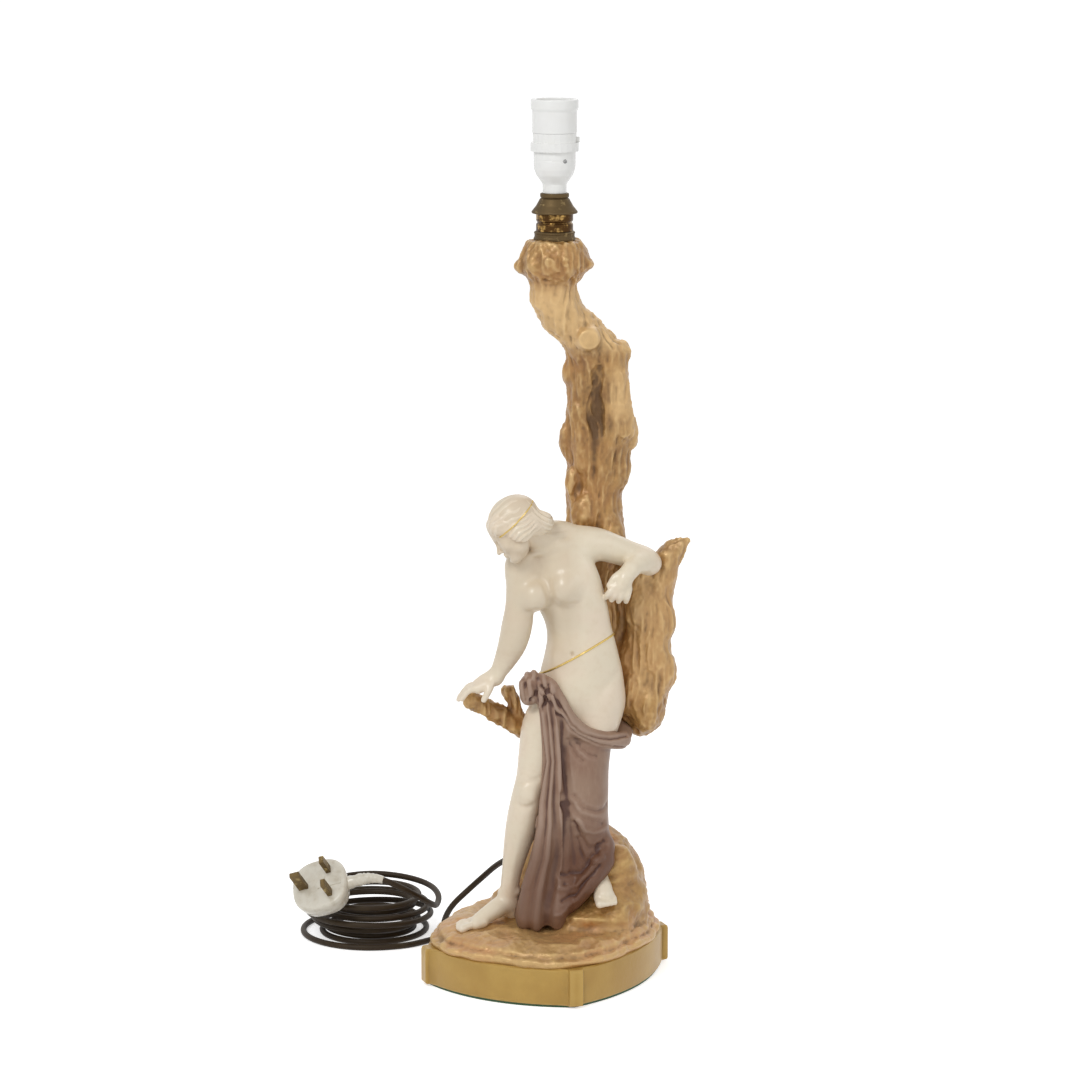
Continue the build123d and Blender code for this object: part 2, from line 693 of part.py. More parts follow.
plug_out = Vector(-0.32, -0.66, 0.69).normalized()  # the way that the pins point
plug_rise = Vector(-0.93, 0.15, -0.29).normalized()  # from the cord's side of the plug to its earth pin
plug_rise = (plug_rise - plug_out * plug_rise.dot(plug_out)).normalized()
plug_face = Plane(Vector(plug_x, plug_y, plug_z), x_dir=plug_rise.cross(plug_out), z_dir=plug_out)
relief_plane = Plane(
    plug_face.from_local_coords((0, -plug_half_width, -plug_thickness / 2)), x_dir=plug_out, z_dir=-plug_rise
)
plug_mouth = relief_plane.origin - plug_rise * relief_length

turn, radius, height = coil_start, coil_radius, cord_radius
coil_stations = [coil_place(turn, radius, height)]
spiral = -1
for layer in range(coil_layers):
    if layer == 0:
        radius -= coil_step * (180 + coil_start) / 180
        turn = -180
    else:
        turn -= 180
        height += coil_layer_rise
    coil_stations.append(coil_place(turn, radius, height))
    for half_turn in range(coil_half_turns):
        turn -= 180
        radius += spiral * coil_step
        coil_stations.append(coil_place(turn, radius, height))
    spiral = -spiral

tail = 2 * cord_radius
coil_mouth = coil_stations[0][0] - coil_stations[0][1] * tail
with BuildLine() as coil_route:
    Line(coil_mouth, coil_stations[0][0])
    for (start, start_run), (finish, finish_run) in zip(coil_stations, coil_stations[1:]):
        biarc(start, start_run, finish, finish_run)
    biarc(*coil_stations[-1], plug_mouth - plug_rise * tail, plug_rise)
    Line(plug_mouth - plug_rise * tail, plug_mouth)
coil_path = coil_route.wires()[0]
cord_coil = tube_along(coil_path)

lead_corners = [Vector(*point) for point in lead_points]
lead_corners += [coil_mouth - coil_stations[0][1] * lead_landing, coil_mouth]
lead_radii = []
for before, corner, after in zip(lead_corners, lead_corners[1:], lead_corners[2:]):
    arriving = corner - before
    leaving = after - corner
    turn = radians(arriving.get_angle(leaving))
    lead_radii.append(lead_bend_share * min(arriving.length, leaving.length) / tan(turn / 2))
print("lead radii", [round(radius, 1) for radius in lead_radii])
with BuildLine() as lead_route:
    FilletPolyline(*lead_corners, radius=lead_radii)
cord_lead = tube_along(lead_route.wires()[0])

# Least gap between the coil's turns, on points along it that are further apart than a quarter turn
coil_points = [coil_path @ (step / gap_steps) for step in range(gap_steps + 1)]
apart = int(gap_steps * coil_radius / coil_path.length)
coil_gap = min(
    (near - far).length
    for index, near in enumerate(coil_points)
    for far in coil_points[index + apart:]
)
print("coil gap to itself", round(coil_gap - 2 * cord_radius, 2))

bush_plane = Plane(lead_corners[0], z_dir=lead_corners[1] - lead_corners[0])
with BuildPart() as cord_bush:
    with BuildSketch(bush_plane):
        RegularPolygon(bush_flange_radius, small_sides)
    extrude(amount=-bush_flange_height)
    with BuildSketch(bush_plane.offset(-bush_flange_height)):
        RegularPolygon(bush_spigot_radius, small_sides)
    extrude(amount=-bush_spigot_length)
boulder = cut_by(boulder, cord_bush)

plug_outline_shares = [
    (-0.75, 1.0), (0.75, 1.0), (1.0, 0.45), (1.0, -0.35), (0.6, -1.0), (-0.6, -1.0), (-1.0, -0.35), (-1.0, 0.45),
]
plug_body = skin([
    [
        plug_face.from_local_coords((x * plug_half_width * spread, y * plug_half_width * spread, -depth))
        for x, y in plug_outline_shares
    ]
    for depth, spread in ((plug_thickness, plug_back_share), (plug_bevel, 1), (0, plug_rim_share))
])


def pin(x, rise, width, depth, length):
    """A flat pin, rooted in the plug's face, with a bevelled end."""
    with BuildPart() as blade:
        with BuildSketch(plug_face.offset(-pin_root)):
            with Locations((x, rise)):
                Rectangle(width, depth)
        extrude(amount=pin_root + length)
        chamfer(blade.faces().sort_by(Axis((0, 0, 0), plug_out))[-1].edges(), pin_bevel)
    return blade


plug_earth_pin = pin(0, pin_rise + pin_pitch, earth_pin_width, earth_pin_depth, earth_pin_length)
plug_line_pin = pin(pin_half_pitch, pin_rise, pin_width, pin_depth, pin_length)
plug_neutral_pin = pin(-pin_half_pitch, pin_rise, pin_width, pin_depth, pin_length)
with BuildPart() as plug_fuse_carrier:
    with BuildSketch(plug_face.offset(-carrier_depth)):
        with Locations((0, pin_rise)):
            Rectangle(carrier_width, carrier_length)
    extrude(amount=carrier_depth + carrier_proud)
plug_relief = turned(Vector(0, 0, 0), small_sides, [
    (relief_radius, -relief_root),
    (relief_radius, 0),
    (relief_tip_radius, relief_length),
])
plug_relief.part.move(relief_plane.location)
plug_body = cut_by(plug_body, plug_earth_pin, plug_line_pin, plug_neutral_pin, plug_fuse_carrier, plug_relief)

sections = {
    "plinth": plinth,
    "base_pad": base_pad,
    "ledge": ledge,
    "boulder": boulder,
    "trunk": trunk,
    "crook": crook,
    "burl": burl,
    "knot": knot,
    "stump": stump,
    "branch": branch,
    "twig": twig,
    "torso": torso,
    "neck": neck,
    "head": head,
    "hair": hair,
    "hair_bun": hair_bun,
    "arm_right": arm_right,
    "hand_right": hand_right,
    "arm_left": arm_left,
    "forearm_left": forearm_left,
    "hand_left": hand_left,
    "leg_right": leg_right,
    "foot_right": foot_right,
    "foot_left": foot_left,
    "drape_roll": drape_roll,
    "drape": drape,
    "threaded_tube": threaded_tube,
    "gallery": gallery,
    "gallery_cone": gallery_cone,
    "holder_cup": holder_cup,
    "cup_screw": cup_screw,
    "switch_body": switch_body,
    "switch_bar": switch_bar,
    "holder_skirt": holder_skirt,
    "holder_barrel": holder_barrel,
    "contact_block": contact_block,
    "plunger_left": plungers["left"],
    "plunger_right": plungers["right"],
    "spring_left": springs["left"],
    "spring_right": springs["right"],
    "cord_bush": cord_bush,
    "cord_lead": cord_lead,
    "cord_coil": cord_coil,
    "plug_body": plug_body,
    "plug_relief": plug_relief,
    "plug_earth_pin": plug_earth_pin,
    "plug_line_pin": plug_line_pin,
    "plug_neutral_pin": plug_neutral_pin,
    "plug_fuse_carrier": plug_fuse_carrier,
}
for name, piece in sections.items():
    save(piece, name)
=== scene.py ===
from itertools import product
from math import cos, pi, radians, sin

import bpy
import numpy as np
from mathutils import Euler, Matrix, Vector
from mathutils.bvhtree import BVHTree


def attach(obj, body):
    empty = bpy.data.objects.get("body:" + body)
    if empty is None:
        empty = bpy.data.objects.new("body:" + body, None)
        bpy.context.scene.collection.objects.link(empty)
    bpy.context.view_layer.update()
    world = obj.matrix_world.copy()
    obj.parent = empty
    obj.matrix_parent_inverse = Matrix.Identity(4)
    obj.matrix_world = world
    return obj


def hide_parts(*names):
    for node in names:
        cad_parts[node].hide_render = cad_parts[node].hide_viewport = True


# A ceramic figure lamp in its studio. The cord, camera and studio are in metres, and all else in mm
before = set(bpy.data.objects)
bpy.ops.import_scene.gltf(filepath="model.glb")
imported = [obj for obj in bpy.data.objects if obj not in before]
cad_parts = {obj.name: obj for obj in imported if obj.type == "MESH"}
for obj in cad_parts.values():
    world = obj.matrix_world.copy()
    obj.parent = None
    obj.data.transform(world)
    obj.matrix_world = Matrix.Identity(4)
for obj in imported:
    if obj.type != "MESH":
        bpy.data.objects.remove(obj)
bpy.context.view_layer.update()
mm = 0.001
coarse = 1.0  # trial renders use a coarser clay
random_start = 7
seat = np.array([6.684, 0.0, 588.0])  # where the brass stands on the burl


def shown(name, data):
    """A new object in the scene."""
    made = bpy.data.objects.new(name, data)
    bpy.context.scene.collection.objects.link(made)
    return made


def aimed(thing, place, target):
    """Puts a camera or a light in its place and points it at a target."""
    thing.location = place
    thing.rotation_euler = (Vector(target) - thing.location).to_track_quat("-Z", "Y").to_euler()


def ramp(values, start, span):
    """From 0 at the start to 1 a span further on. A negative span runs downward."""
    return np.clip((values - start) / span, 0, 1)


# Camera, at the photograph's height and distance
camera_x = -0.0046
lens = bpy.data.cameras.new("camera")
lens.lens = 129.5
lens.sensor_width = 36.0
camera = shown("camera", lens)
aimed(camera, (camera_x, -3.0, 0.9), (camera_x, 0.0, 0.352))
bpy.context.scene.camera = camera


# Materials

class Value:
    """What a socket gives, so that a material's sums read as plain expressions."""

    def __init__(self, finish, socket):
        self.finish = finish
        self.socket = socket

    def sum(self, operation, first, second):
        return self.finish.node("ShaderNodeMath", {"operation": operation}, {0: first, 1: second})

    def __add__(self, other):
        return self.sum("ADD", self, other)

    def __sub__(self, other):
        return self.sum("SUBTRACT", self, other)

    def __rsub__(self, other):
        return self.sum("SUBTRACT", other, self)

    def __mul__(self, other):
        return self.sum("MULTIPLY", self, other)

    __radd__ = __add__
    __rmul__ = __mul__


class Finish:
    """A glaze, metal or plastic: what is even all over goes on the shader, and nodes give the rest."""

    def __init__(self, name, **even):
        self.material = bpy.data.materials.new(name)
        self.material.use_nodes = True
        self.tree = self.material.node_tree
        self.shader = self.tree.nodes["Principled BSDF"]
        for socket, value in even.items():
            self.shader.inputs[socket.replace("_", " ")].default_value = value
        self.place = self.node("ShaderNodeTexCoord", output="Object")

    def node(self, kind, settings=None, sockets=None, output=0):
        """One node: its settings first, then the values or links of its sockets."""
        made = self.tree.nodes.new(kind)
        for name, value in (settings or {}).items():
            setattr(made, name, value)
        for name, value in (sockets or {}).items():
            if isinstance(value, Value):
                self.tree.links.new(value.socket, made.inputs[name])
            else:
                made.inputs[name].default_value = value
        return Value(self, made.outputs[output])

    def speckle(self, size, detail=3.0, rough=0.55, stretch=(1, 1, 1)):
        """Soft random values from 0 to 1, with spots of about the size in millimetres."""
        sockets = {"Vector": self.place, "Scale": stretch}
        place = self.node("ShaderNodeMapping", {"vector_type": "POINT"}, sockets)
        sockets = {"Vector": place, "Scale": 1 / (size * mm), "Detail": detail, "Roughness": rough}
        return self.node("ShaderNodeTexNoise", None, sockets)

    def between(self, value, low, high):
        """The value eased from 0 at low to 1 at high, which may lie below it."""
        sockets = {"Value": value, "From Min": low, "From Max": high}
        return self.node("ShaderNodeMapRange", {"interpolation_type": "SMOOTHSTEP"}, sockets)

    def mixed(self, share, first, second):
        """A colour between two, which may be colours or links. 6, 7 and 2 are the node's colour sockets."""
        ends = [colour if isinstance(colour, Value) else (*colour, 1.0) for colour in (first, second)]
        return self.node("ShaderNodeMix", {"data_type": "RGBA"}, {0: share, 6: ends[0], 7: ends[1]}, 2)

    def layered(self, body, *layers):
        """A colour with others laid over it in order, each by its own share."""
        for share, colour in layers:
            body = self.mixed(share, body, colour)
        return body

    def marked(self, name):
        """What the piece's points carry under that name."""
        return self.node("ShaderNodeAttribute", {"attribute_name": name}, output="Fac")

    def feed(self, **links):
        for socket, value in links.items():
            self.tree.links.new(value.socket, self.shader.inputs[socket.replace("_", " ")])

    def backdrop(self):
        """1 for rays of the camera, of gloss and of glass, which see the backdrop, and else 0."""
        camera_rays, gloss_rays, glass_rays = [
            self.node("ShaderNodeLightPath", output=name)
            for name in ("Is Camera Ray", "Is Glossy Ray", "Is Transmission Ray")
        ]
        return camera_rays + gloss_rays + glass_rays

    def bumped(self, height, strength, depth):
        """Feeds a fine relief to the shader: depth is in millimetres."""
        sockets = {"Height": height, "Strength": strength, "Distance": depth * mm}
        self.feed(Normal=self.node("ShaderNodeBump", None, sockets))


class Sky(Finish):
    """The even light all round, with nodes as a finish has."""

    def __init__(self, name):
        self.world = bpy.data.worlds.new(name)
        self.world.use_nodes = True
        self.tree = self.world.node_tree
        self.shader = self.tree.nodes["Background"]


def ivory_finish():
    """Blush ivory porcelain, with a faint crackle of tone: browner in the hollows, partly its stain and
    partly painted shade, paler on the ridges as a painted highlight, and darker where painted shade is
    marked.
    """
    ivory = Finish("ivory_porcelain", Coat_Weight=0.25, Coat_Roughness=0.12, IOR=1.5)
    cloud = ivory.speckle(38, 2.0)
    fine = ivory.speckle(5, 4.0)
    hollow = ivory.marked("hollow")
    body = ivory.layered(
        (0.83, 0.73, 0.56),
        (ivory.between(cloud, 0.38, 0.66), (0.85, 0.72, 0.56)),
        (ivory.between(fine, 0.45, 0.75) * 0.25, (0.74, 0.60, 0.42)),
        # Painted shade on the torso's shaded side and on the face.
        (ivory.marked("painted_shade") * (0.4 + 0.6 * cloud), (0.60, 0.48, 0.33)),
        # Painted shade: the hollows turn brown, partly the stain that blush ivory holds there.
        (ivory.between(hollow, 0.54, 1.0) * 0.65, (0.50, 0.37, 0.23)),
        # Painted highlight: the ridges turn paler.
        (ivory.between(hollow, 0.48, 0.15) * 0.4, (0.88, 0.80, 0.66)),
    )
    ivory.feed(Base_Color=body, Roughness=0.30 + 0.16 * fine)
    ivory.bumped(fine, 0.12, 0.2)
    return ivory.material


def gilt_finish(name, dark, middle, light, warm, grain):
    """Gilt glaze on bark, rock or plinth: bronzed and darkened with painted shade in the hollows, rubbed
    bright and lit with a painted highlight on the ridges.

    Warm is the tone of broad clouds, and grain stretches the streaks.
    """
    gilt = Finish(name, Coat_Weight=0.15, Coat_Roughness=0.3)
    hollow = gilt.marked("hollow")
    broad = gilt.speckle(46, 2.0)
    patch = gilt.speckle(17, 4.0, 0.6)
    streak = gilt.speckle(4.5, 5.0, 0.65, grain)
    fine = gilt.speckle(1.4, 4.0, 0.6, grain)
    ridge = gilt.between(hollow + 0.26 * (streak - 0.5), 0.52, 0.16)
    deep = gilt.between(hollow + 0.30 * (streak - 0.5), 0.50, 0.92)
    body = gilt.layered(
        dark,
        (gilt.between(0.45 * streak + 0.55 * patch, 0.30, 0.68), middle),
        (gilt.between(broad, 0.40, 0.68) * 0.7, warm),
        # Painted highlight on the ridges, over the rubbed gilt.
        (ridge * 0.65, light),
        (gilt.marked("pale") * (0.35 + 0.65 * patch), (0.84, 0.58, 0.28)),
        # Painted shade: the hollows darken almost to black.
        (deep * 0.85, tuple(0.40 * part for part in dark)),
    )
    gilt.feed(Base_Color=body, Roughness=0.36 + 0.3 * deep + 0.08 * fine, Metallic=0.25 * (1 - deep))
    gilt.bumped(0.6 * streak + 0.4 * fine, 0.6, 0.6)
    return gilt.material


def mauve_finish():
    """The drape's mauve glaze: painted shade makes it a dark red-brown in the folds and lower down, and a
    painted highlight makes it greyer and lighter on the ridges.
    """
    mauve = Finish("mauve_glaze", Coat_Weight=0.08, Coat_Roughness=0.25, Specular_IOR_Level=0.3)
    hollow = mauve.marked("hollow")
    cloud = mauve.speckle(30)
    thread = mauve.speckle(3.0, 4.0, 0.6, (1.0, 1.0, 0.25))
    body = mauve.layered(
        (0.275, 0.160, 0.108),
        (mauve.between(cloud, 0.35, 0.68), (0.33, 0.215, 0.15)),
        (mauve.between(thread, 0.45, 0.8) * 0.3, (0.44, 0.30, 0.22)),
        # Painted highlight on the ridges.
        (mauve.between(hollow, 0.50, 0.20) * 0.75, (0.43, 0.305, 0.235)),
        # Painted shade on the cloth below the knee.
        (mauve.marked("low") * (0.7 + 0.3 * cloud), (0.115, 0.040, 0.016)),
        # Painted shade in the folds.
        (mauve.between(hollow, 0.53, 0.88) * 0.9, (0.075, 0.03, 0.022)),
    )
    mauve.feed(Base_Color=body, Roughness=0.36 + 0.2 * thread)
    mauve.bumped(thread, 0.2, 0.3)
    return mauve.material


def brass_finish(name, patina, metal, worn, roughness):
    """Metal under a patina, in blotches and fine turning marks. More of it is worn clean as worn grows."""
    brass = Finish(name, Metallic=1.0)
    blotch = brass.speckle(5, 5.0, 0.6)
    rings = brass.speckle(1.2, 2.0, 0.5, (0.15, 0.15, 3.0))
    clean = brass.between(blotch + 0.3 * (rings - 0.5), 0.62 - worn, 0.85 - worn)
    brass.feed(Base_Color=brass.mixed(clean, patina, metal), Roughness=roughness + 0.22 * (1 - clean))
    brass.bumped(rings, 0.12, 0.1)
    return brass.material


def plastic_finish(name, colour, tint, roughness, size=20, coat=0.2, gloss=0.5):
    """A moulded plastic: very slight clouds of tone, dulled here and there by handling."""
    plastic = Finish(name, Coat_Weight=coat, Coat_Roughness=0.08, Specular_IOR_Level=gloss)
    cloud = plastic.speckle(size)
    fine = plastic.speckle(1.5)
    body = plastic.mixed(plastic.between(cloud, 0.4, 0.75) * 0.6, colour, tint)
    plastic.feed(Base_Color=body, Roughness=roughness + 0.1 * cloud)
    plastic.bumped(fine, 0.06, 0.1)
    return plastic.material


ivory_porcelain = ivory_finish()
bark_gilt = gilt_finish(
    "bark_gilt", (0.22, 0.10, 0.026), (0.48, 0.27, 0.085), (0.74, 0.50, 0.22), (0.40, 0.19, 0.055),
    grain=(1.0, 1.0, 0.45),
)
rock_gilt = gilt_finish(
    "rock_gilt", (0.31, 0.155, 0.045), (0.46, 0.265, 0.08), (0.62, 0.41, 0.15), (0.50, 0.20, 0.065),
    grain=(1.0, 1.0, 2.2),
)
plinth_gilt = gilt_finish(
    "plinth_gilt", (0.42, 0.25, 0.05), (0.48, 0.295, 0.065), (0.55, 0.36, 0.10), (0.38, 0.215, 0.04),
    grain=(1.0, 1.0, 0.6),
)
mauve_glaze = mauve_finish()
gold_line = brass_finish("gold_line", (0.62, 0.46, 0.16), (0.90, 0.70, 0.30), 0.1, 0.34)
aged_brass = brass_finish("aged_brass", (0.12, 0.082, 0.040), (0.36, 0.26, 0.12), 0.05, 0.34)
bright_brass = brass_finish("bright_brass", (0.07, 0.035, 0.012), (0.55, 0.34, 0.11), 0.12, 0.14)
contact_brass = brass_finish("contact_brass", (0.16, 0.11, 0.05), (0.52, 0.40, 0.18), 0.1, 0.28)
plated_steel = brass_finish("plated_steel", (0.20, 0.20, 0.20), (0.62, 0.62, 0.60), 0.15, 0.25)
white_plastic = plastic_finish("white_plastic", (0.90, 0.90, 0.88), (0.87, 0.86, 0.82), 0.16)
plug_plastic = plastic_finish("plug_plastic", (0.74, 0.70, 0.60), (0.50, 0.44, 0.33), 0.22, 6)
cord_plastic = plastic_finish(
    "cord_plastic", (0.034, 0.021, 0.010), (0.056, 0.037, 0.017), 0.42, 14, coat=0.0, gloss=0.2,
)
baize = plastic_finish("baize", (0.05, 0.12, 0.06), (0.08, 0.16, 0.08), 0.85, 2)


# Cord, in metres: the lead keeps to part.py's route, and the coil's turns are laid anew close to it
cord_diameter = 0.005
lead_route = [
    (-0.0105, 0.0655, 0.0770), (-0.0210, 0.0920, 0.0730), (-0.0380, 0.1200, 0.0587),
    (-0.0520, 0.1360, 0.0420), (-0.0660, 0.1400, 0.0280), (-0.0790, 0.1320, 0.0175),
    (-0.0850, 0.1130, 0.0090), (-0.0831, 0.0953, 0.0025), (-0.0986, 0.0797, 0.0025),
]
coil_middle = (-0.146, 0.120)
coil_stations = [  # degrees turned clockwise, distance from the middle and height
    (45, 0.0620, 0.0025), (90, 0.0600, 0.0025), (270, 0.0514, 0.0025), (450, 0.0435, 0.0025),
    (630, 0.0360, 0.0030), (810, 0.0380, 0.0060), (990, 0.0385, 0.0110), (1170, 0.0425, 0.0120),
    (1350, 0.0505, 0.0125), (1530, 0.0520, 0.0190), (1710, 0.0530, 0.0215), (1890, 0.0435, 0.0218),
    (2070, 0.0385, 0.0230), (2250, 0.0360, 0.0255), (2430, 0.0385, 0.0315), (2610, 0.0440, 0.0310),
    (2790, 0.0525, 0.0350), (2880, 0.0570, 0.0310),
]
coil_point_turn = 30  # degrees between the coil's points
spline_ease = 1.02  # a spline runs inside its points
tail_route = [
    (-0.0895, 0.1000, 0.0270), (-0.0930, 0.0820, 0.0330), (-0.1060, 0.0680, 0.0450),
    (-0.1240, 0.0630, 0.0560), (-0.1400, 0.0655, 0.0610), (-0.1499, 0.0671, 0.0585),
]


def coil_route():
    """The coil's points, clockwise as seen from above, from turns that lie loosely on each other."""
    turns, radii, heights = zip(*coil_stations)
    points = []
    for turn in range(turns[0] + coil_point_turn // 2, turns[-1] + 1, coil_point_turn):
        angle = radians(-turn)
        radius = np.interp(turn, turns, radii) * spline_ease
        height = np.interp(turn, turns, heights)
        x, y = coil_middle[0] + radius * cos(angle), coil_middle[1] + radius * sin(angle)
        points.append((x, y, height))
    return points


cord_route = lead_route + coil_route() + tail_route
curve = bpy.data.curves.new("cord", "CURVE")
curve.dimensions = "3D"
spline = curve.splines.new("NURBS")
spline.points.add(len(cord_route) - 1)
for place, point in zip(spline.points, cord_route):
    place.co = (*point, 1.0)
spline.order_u = 3
spline.use_endpoint_u = True
spline.resolution_u = 6
cord = shown("cord", curve)
cord_line = np.array([point.co for point in bpy.data.meshes.new_from_object(cord).vertices]) / mm
curve.bevel_depth = cord_diameter / 2
curve.bevel_resolution = 5
curve.materials.append(cord_plastic)
cord_length = float(np.linalg.norm(np.diff(cord_line, axis=0), axis=1).sum()) * mm


# Modelling

def smoothed(stations, steps=4):
    """A flowing line through stations, which may carry widths beside their places."""
    points = np.array(stations, float)
    padded = np.vstack([2 * points[0] - points[1], points, 2 * points[-1] - points[-2]])
    line = []
    for before, start, finish, after in zip(padded, padded[1:], padded[2:], padded[3:]):
        for step in range(steps):
            share = step / steps
            bend = (2 * before - 5 * start + 4 * finish - after) * share * share
            twist = (3 * (start - finish) + after - before) * share ** 3
            line.append(start + 0.5 * ((finish - before) * share + bend + twist))
    line.append(points[-1])
    return np.array(line)


def speckled(points, size, seed):
    """Smooth random values from -1 to 1 at the points, in lumps of the given size."""
    cells = 32
    table = np.random.default_rng(random_start + seed).uniform(-1, 1, (cells, cells, cells))
    cell = points / np.array(size, float)
    corner = np.floor(cell).astype(int)
    share = cell - corner
    share = share * share * (3 - 2 * share)
    total = np.zeros(len(points))
    for step in product((0, 1), repeat=3):
        sides = [share[:, axis] if step[axis] else 1 - share[:, axis] for axis in range(3)]
        weight = np.prod(sides, axis=0)
        place = (corner + step) % cells
        total += weight * table[place[:, 0], place[:, 1], place[:, 2]]
    return total


def turned_by(degrees):
    """A turn about x, then y, then z, as rows to multiply."""
    return np.array(Euler([radians(part) for part in degrees]).to_matrix())


class Clay:
    """Clay on a grid that holds the distance to its surface. Forms are joined to it or pressed into it."""

    far = 60.0  # from the surface, where there is no clay yet
    margin = 3  # that a form's window leaves round it

    def __init__(self, low, high, grain):
        self.grain = grain * coarse
        self.axes = [
            np.arange(start, end + self.grain, self.grain, dtype=np.float32) for start, end in zip(low, high)
        ]
        self.depth = np.full([len(axis) for axis in self.axes], self.far, dtype=np.float32)

    def block(self, low, high):
        """The grid's part in a box, and its places along the three axes."""
        window = tuple(
            slice(max(int(np.searchsorted(line, start)) - 1, 0), int(np.searchsorted(line, end)) + 1)
            for line, start, end in zip(self.axes, low, high)
        )
        return window, np.ix_(*[line[part] for line, part in zip(self.axes, window)])

    def join(self, window, form, blend, press=False):
        """Joins a form to the clay, or presses it in, with the seam eased over the blend."""
        here = self.depth[window]
        if press:
            here = -here
        share = np.clip(0.5 + 0.5 * (here - form) / max(blend, 0.01), 0, 1)
        here = here * (1 - share) + form * share - blend * share * (1 - share)
        self.depth[window] = -here if press else here

    def model(self, *forms):
        """Joins forms in order: a limb's row begins with its list of stations, a lump's with its middle."""
        for form in forms:
            (self.limb if isinstance(form[0], list) else self.lump)(*form)

    def limb(self, stations, blend, press=False):
        """A rounded limb through stations of (x, y, z, radius)."""
        line = smoothed(stations)
        reach = line[:, 3].max() + 2 * blend + self.margin
        window, places = self.block(line[:, :3].min(0) - reach, line[:, :3].max(0) + reach)
        form = None
        for start, finish in zip(line, line[1:]):
            run = finish - start
            length = max(float(run[:3] @ run[:3]), 1e-6)
            offsets = [place - first for place, first in zip(places, start)]
            share = sum(offset * step for offset, step in zip(offsets, run)) / length
            share = np.clip(share, 0, 1).astype(np.float32)
            away = np.sqrt(sum((offset - share * step) ** 2 for offset, step in zip(offsets, run)))
            away = away - (start[3] + share * run[3])
            form = away if form is None else np.minimum(form, away)
        self.join(window, form, blend, press)

    def lump(self, middle, radii, blend, turn=(0, 0, 0), press=False):
        """An egg with three half sizes, turned about its middle."""
        reach = max(radii) + 2 * blend + self.margin
        middle = np.array(middle, float)
        window, places = self.block(middle - reach, middle + reach)
        offsets = [place - centre for place, centre in zip(places, middle)]
        out, steep = 0.0, 0.0
        for radius, direction in zip(radii, turned_by(turn).T):
            part = sum(offset * share for offset, share in zip(offsets, direction))
            out = out + (part / radius) ** 2
            steep = steep + (part / radius ** 2) ** 2
        out = np.sqrt(out)
        form = out * (out - 1) / np.maximum(np.sqrt(steep), 1e-6)
        self.join(window, form.astype(np.float32), blend, press)

    def stack(self, stations, blend, power=2.0):
        """A form of level slices: (z, x, y, half width, half depth, turn in degrees)."""
        line = np.array(stations, float)
        reach = line[:, 3:5].max() + blend + self.margin
        low = [line[:, 1].min() - reach, line[:, 2].min() - reach, line[0, 0] - blend]
        high = [line[:, 1].max() + reach, line[:, 2].max() + reach, line[-1, 0] + blend]
        window, (x, y, z) = self.block(low, high)
        fine = smoothed(stations, 8)
        middle_x, middle_y, wide, deep, turn = [
            np.interp(z.ravel(), fine[:, 0], column).reshape(1, 1, -1) for column in fine.T[1:]
        ]
        cosine, sine = np.cos(np.radians(turn)), np.sin(np.radians(turn))
        aside = np.abs((x - middle_x) * cosine + (y - middle_y) * sine)
        ahead = np.abs((y - middle_y) * cosine - (x - middle_x) * sine)
        out = ((aside / wide) ** power + (ahead / deep) ** power) ** (1 / power)
        steep = np.sqrt((aside / wide ** 2) ** 2 + (ahead / deep ** 2) ** 2) / np.maximum(out, 1e-3)
        form = (out - 1) / np.maximum(steep, 1 / wide.max())
        form = np.maximum(form, np.maximum(line[0, 0] - z, z - line[-1, 0]))
        self.join(window, form.astype(np.float32), blend)

    def cast(self, relax=2):
        """The clay's skin: a point in each crossed cell, and a facet over each edge that is crossed."""
        inside = self.depth < 0
        shape = np.array(inside.shape) - 1
        count = np.zeros(shape, np.uint8)
        for i, j, k in product((0, 1), repeat=3):
            count += inside[i:i + shape[0], j:j + shape[1], k:k + shape[2]]
        crossed = (count > 0) & (count < 8)  # a cell has 8 corners
        cells = np.argwhere(crossed)
        number = np.full(crossed.shape, -1, np.int32)
        number[crossed] = np.arange(len(cells))
        total = np.zeros((len(cells), 3))
        hits = np.zeros(len(cells))
        facets = []
        steps = np.eye(3, dtype=int)
        for axis, along in enumerate(steps):
            sides = [steps[other] for other in range(3) if other != axis]
            for i, j in product((0, 1), repeat=2):
                start = cells + i * sides[0] + j * sides[1]
                near = self.depth[tuple(start.T)]
                far = self.depth[tuple((start + along).T)]
                cut = (near < 0) != (far < 0)
                share = near[cut] / (near[cut] - far[cut])
                total[cut] += (i * sides[0] + j * sides[1])[None] + share[:, None] * along
                hits[cut] += 1
            window = [slice(1, -1)] * 3
            window[axis] = slice(0, -1)
            ahead = [slice(1, -1)] * 3
            ahead[axis] = slice(1, None)
            first, second = inside[tuple(window)], inside[tuple(ahead)]
            edges = np.argwhere(first != second) + 1 - along
            flip = first[tuple((edges - 1 + along).T)]
            ring = [edges, edges - sides[0], edges - sides[0] - sides[1], edges - sides[1]]
            facet = np.stack([number[tuple(corner.T)] for corner in ring], axis=1)
            if axis == 1:
                flip = ~flip
            facet[~flip] = facet[~flip][:, ::-1]
            facets.append(facet)
        points = np.array([axis[0] for axis in self.axes]) + (cells + total / hits[:, None]) * self.grain
        skin = Skin(points, np.vstack(facets))
        skin.relax(relax)
        return skin


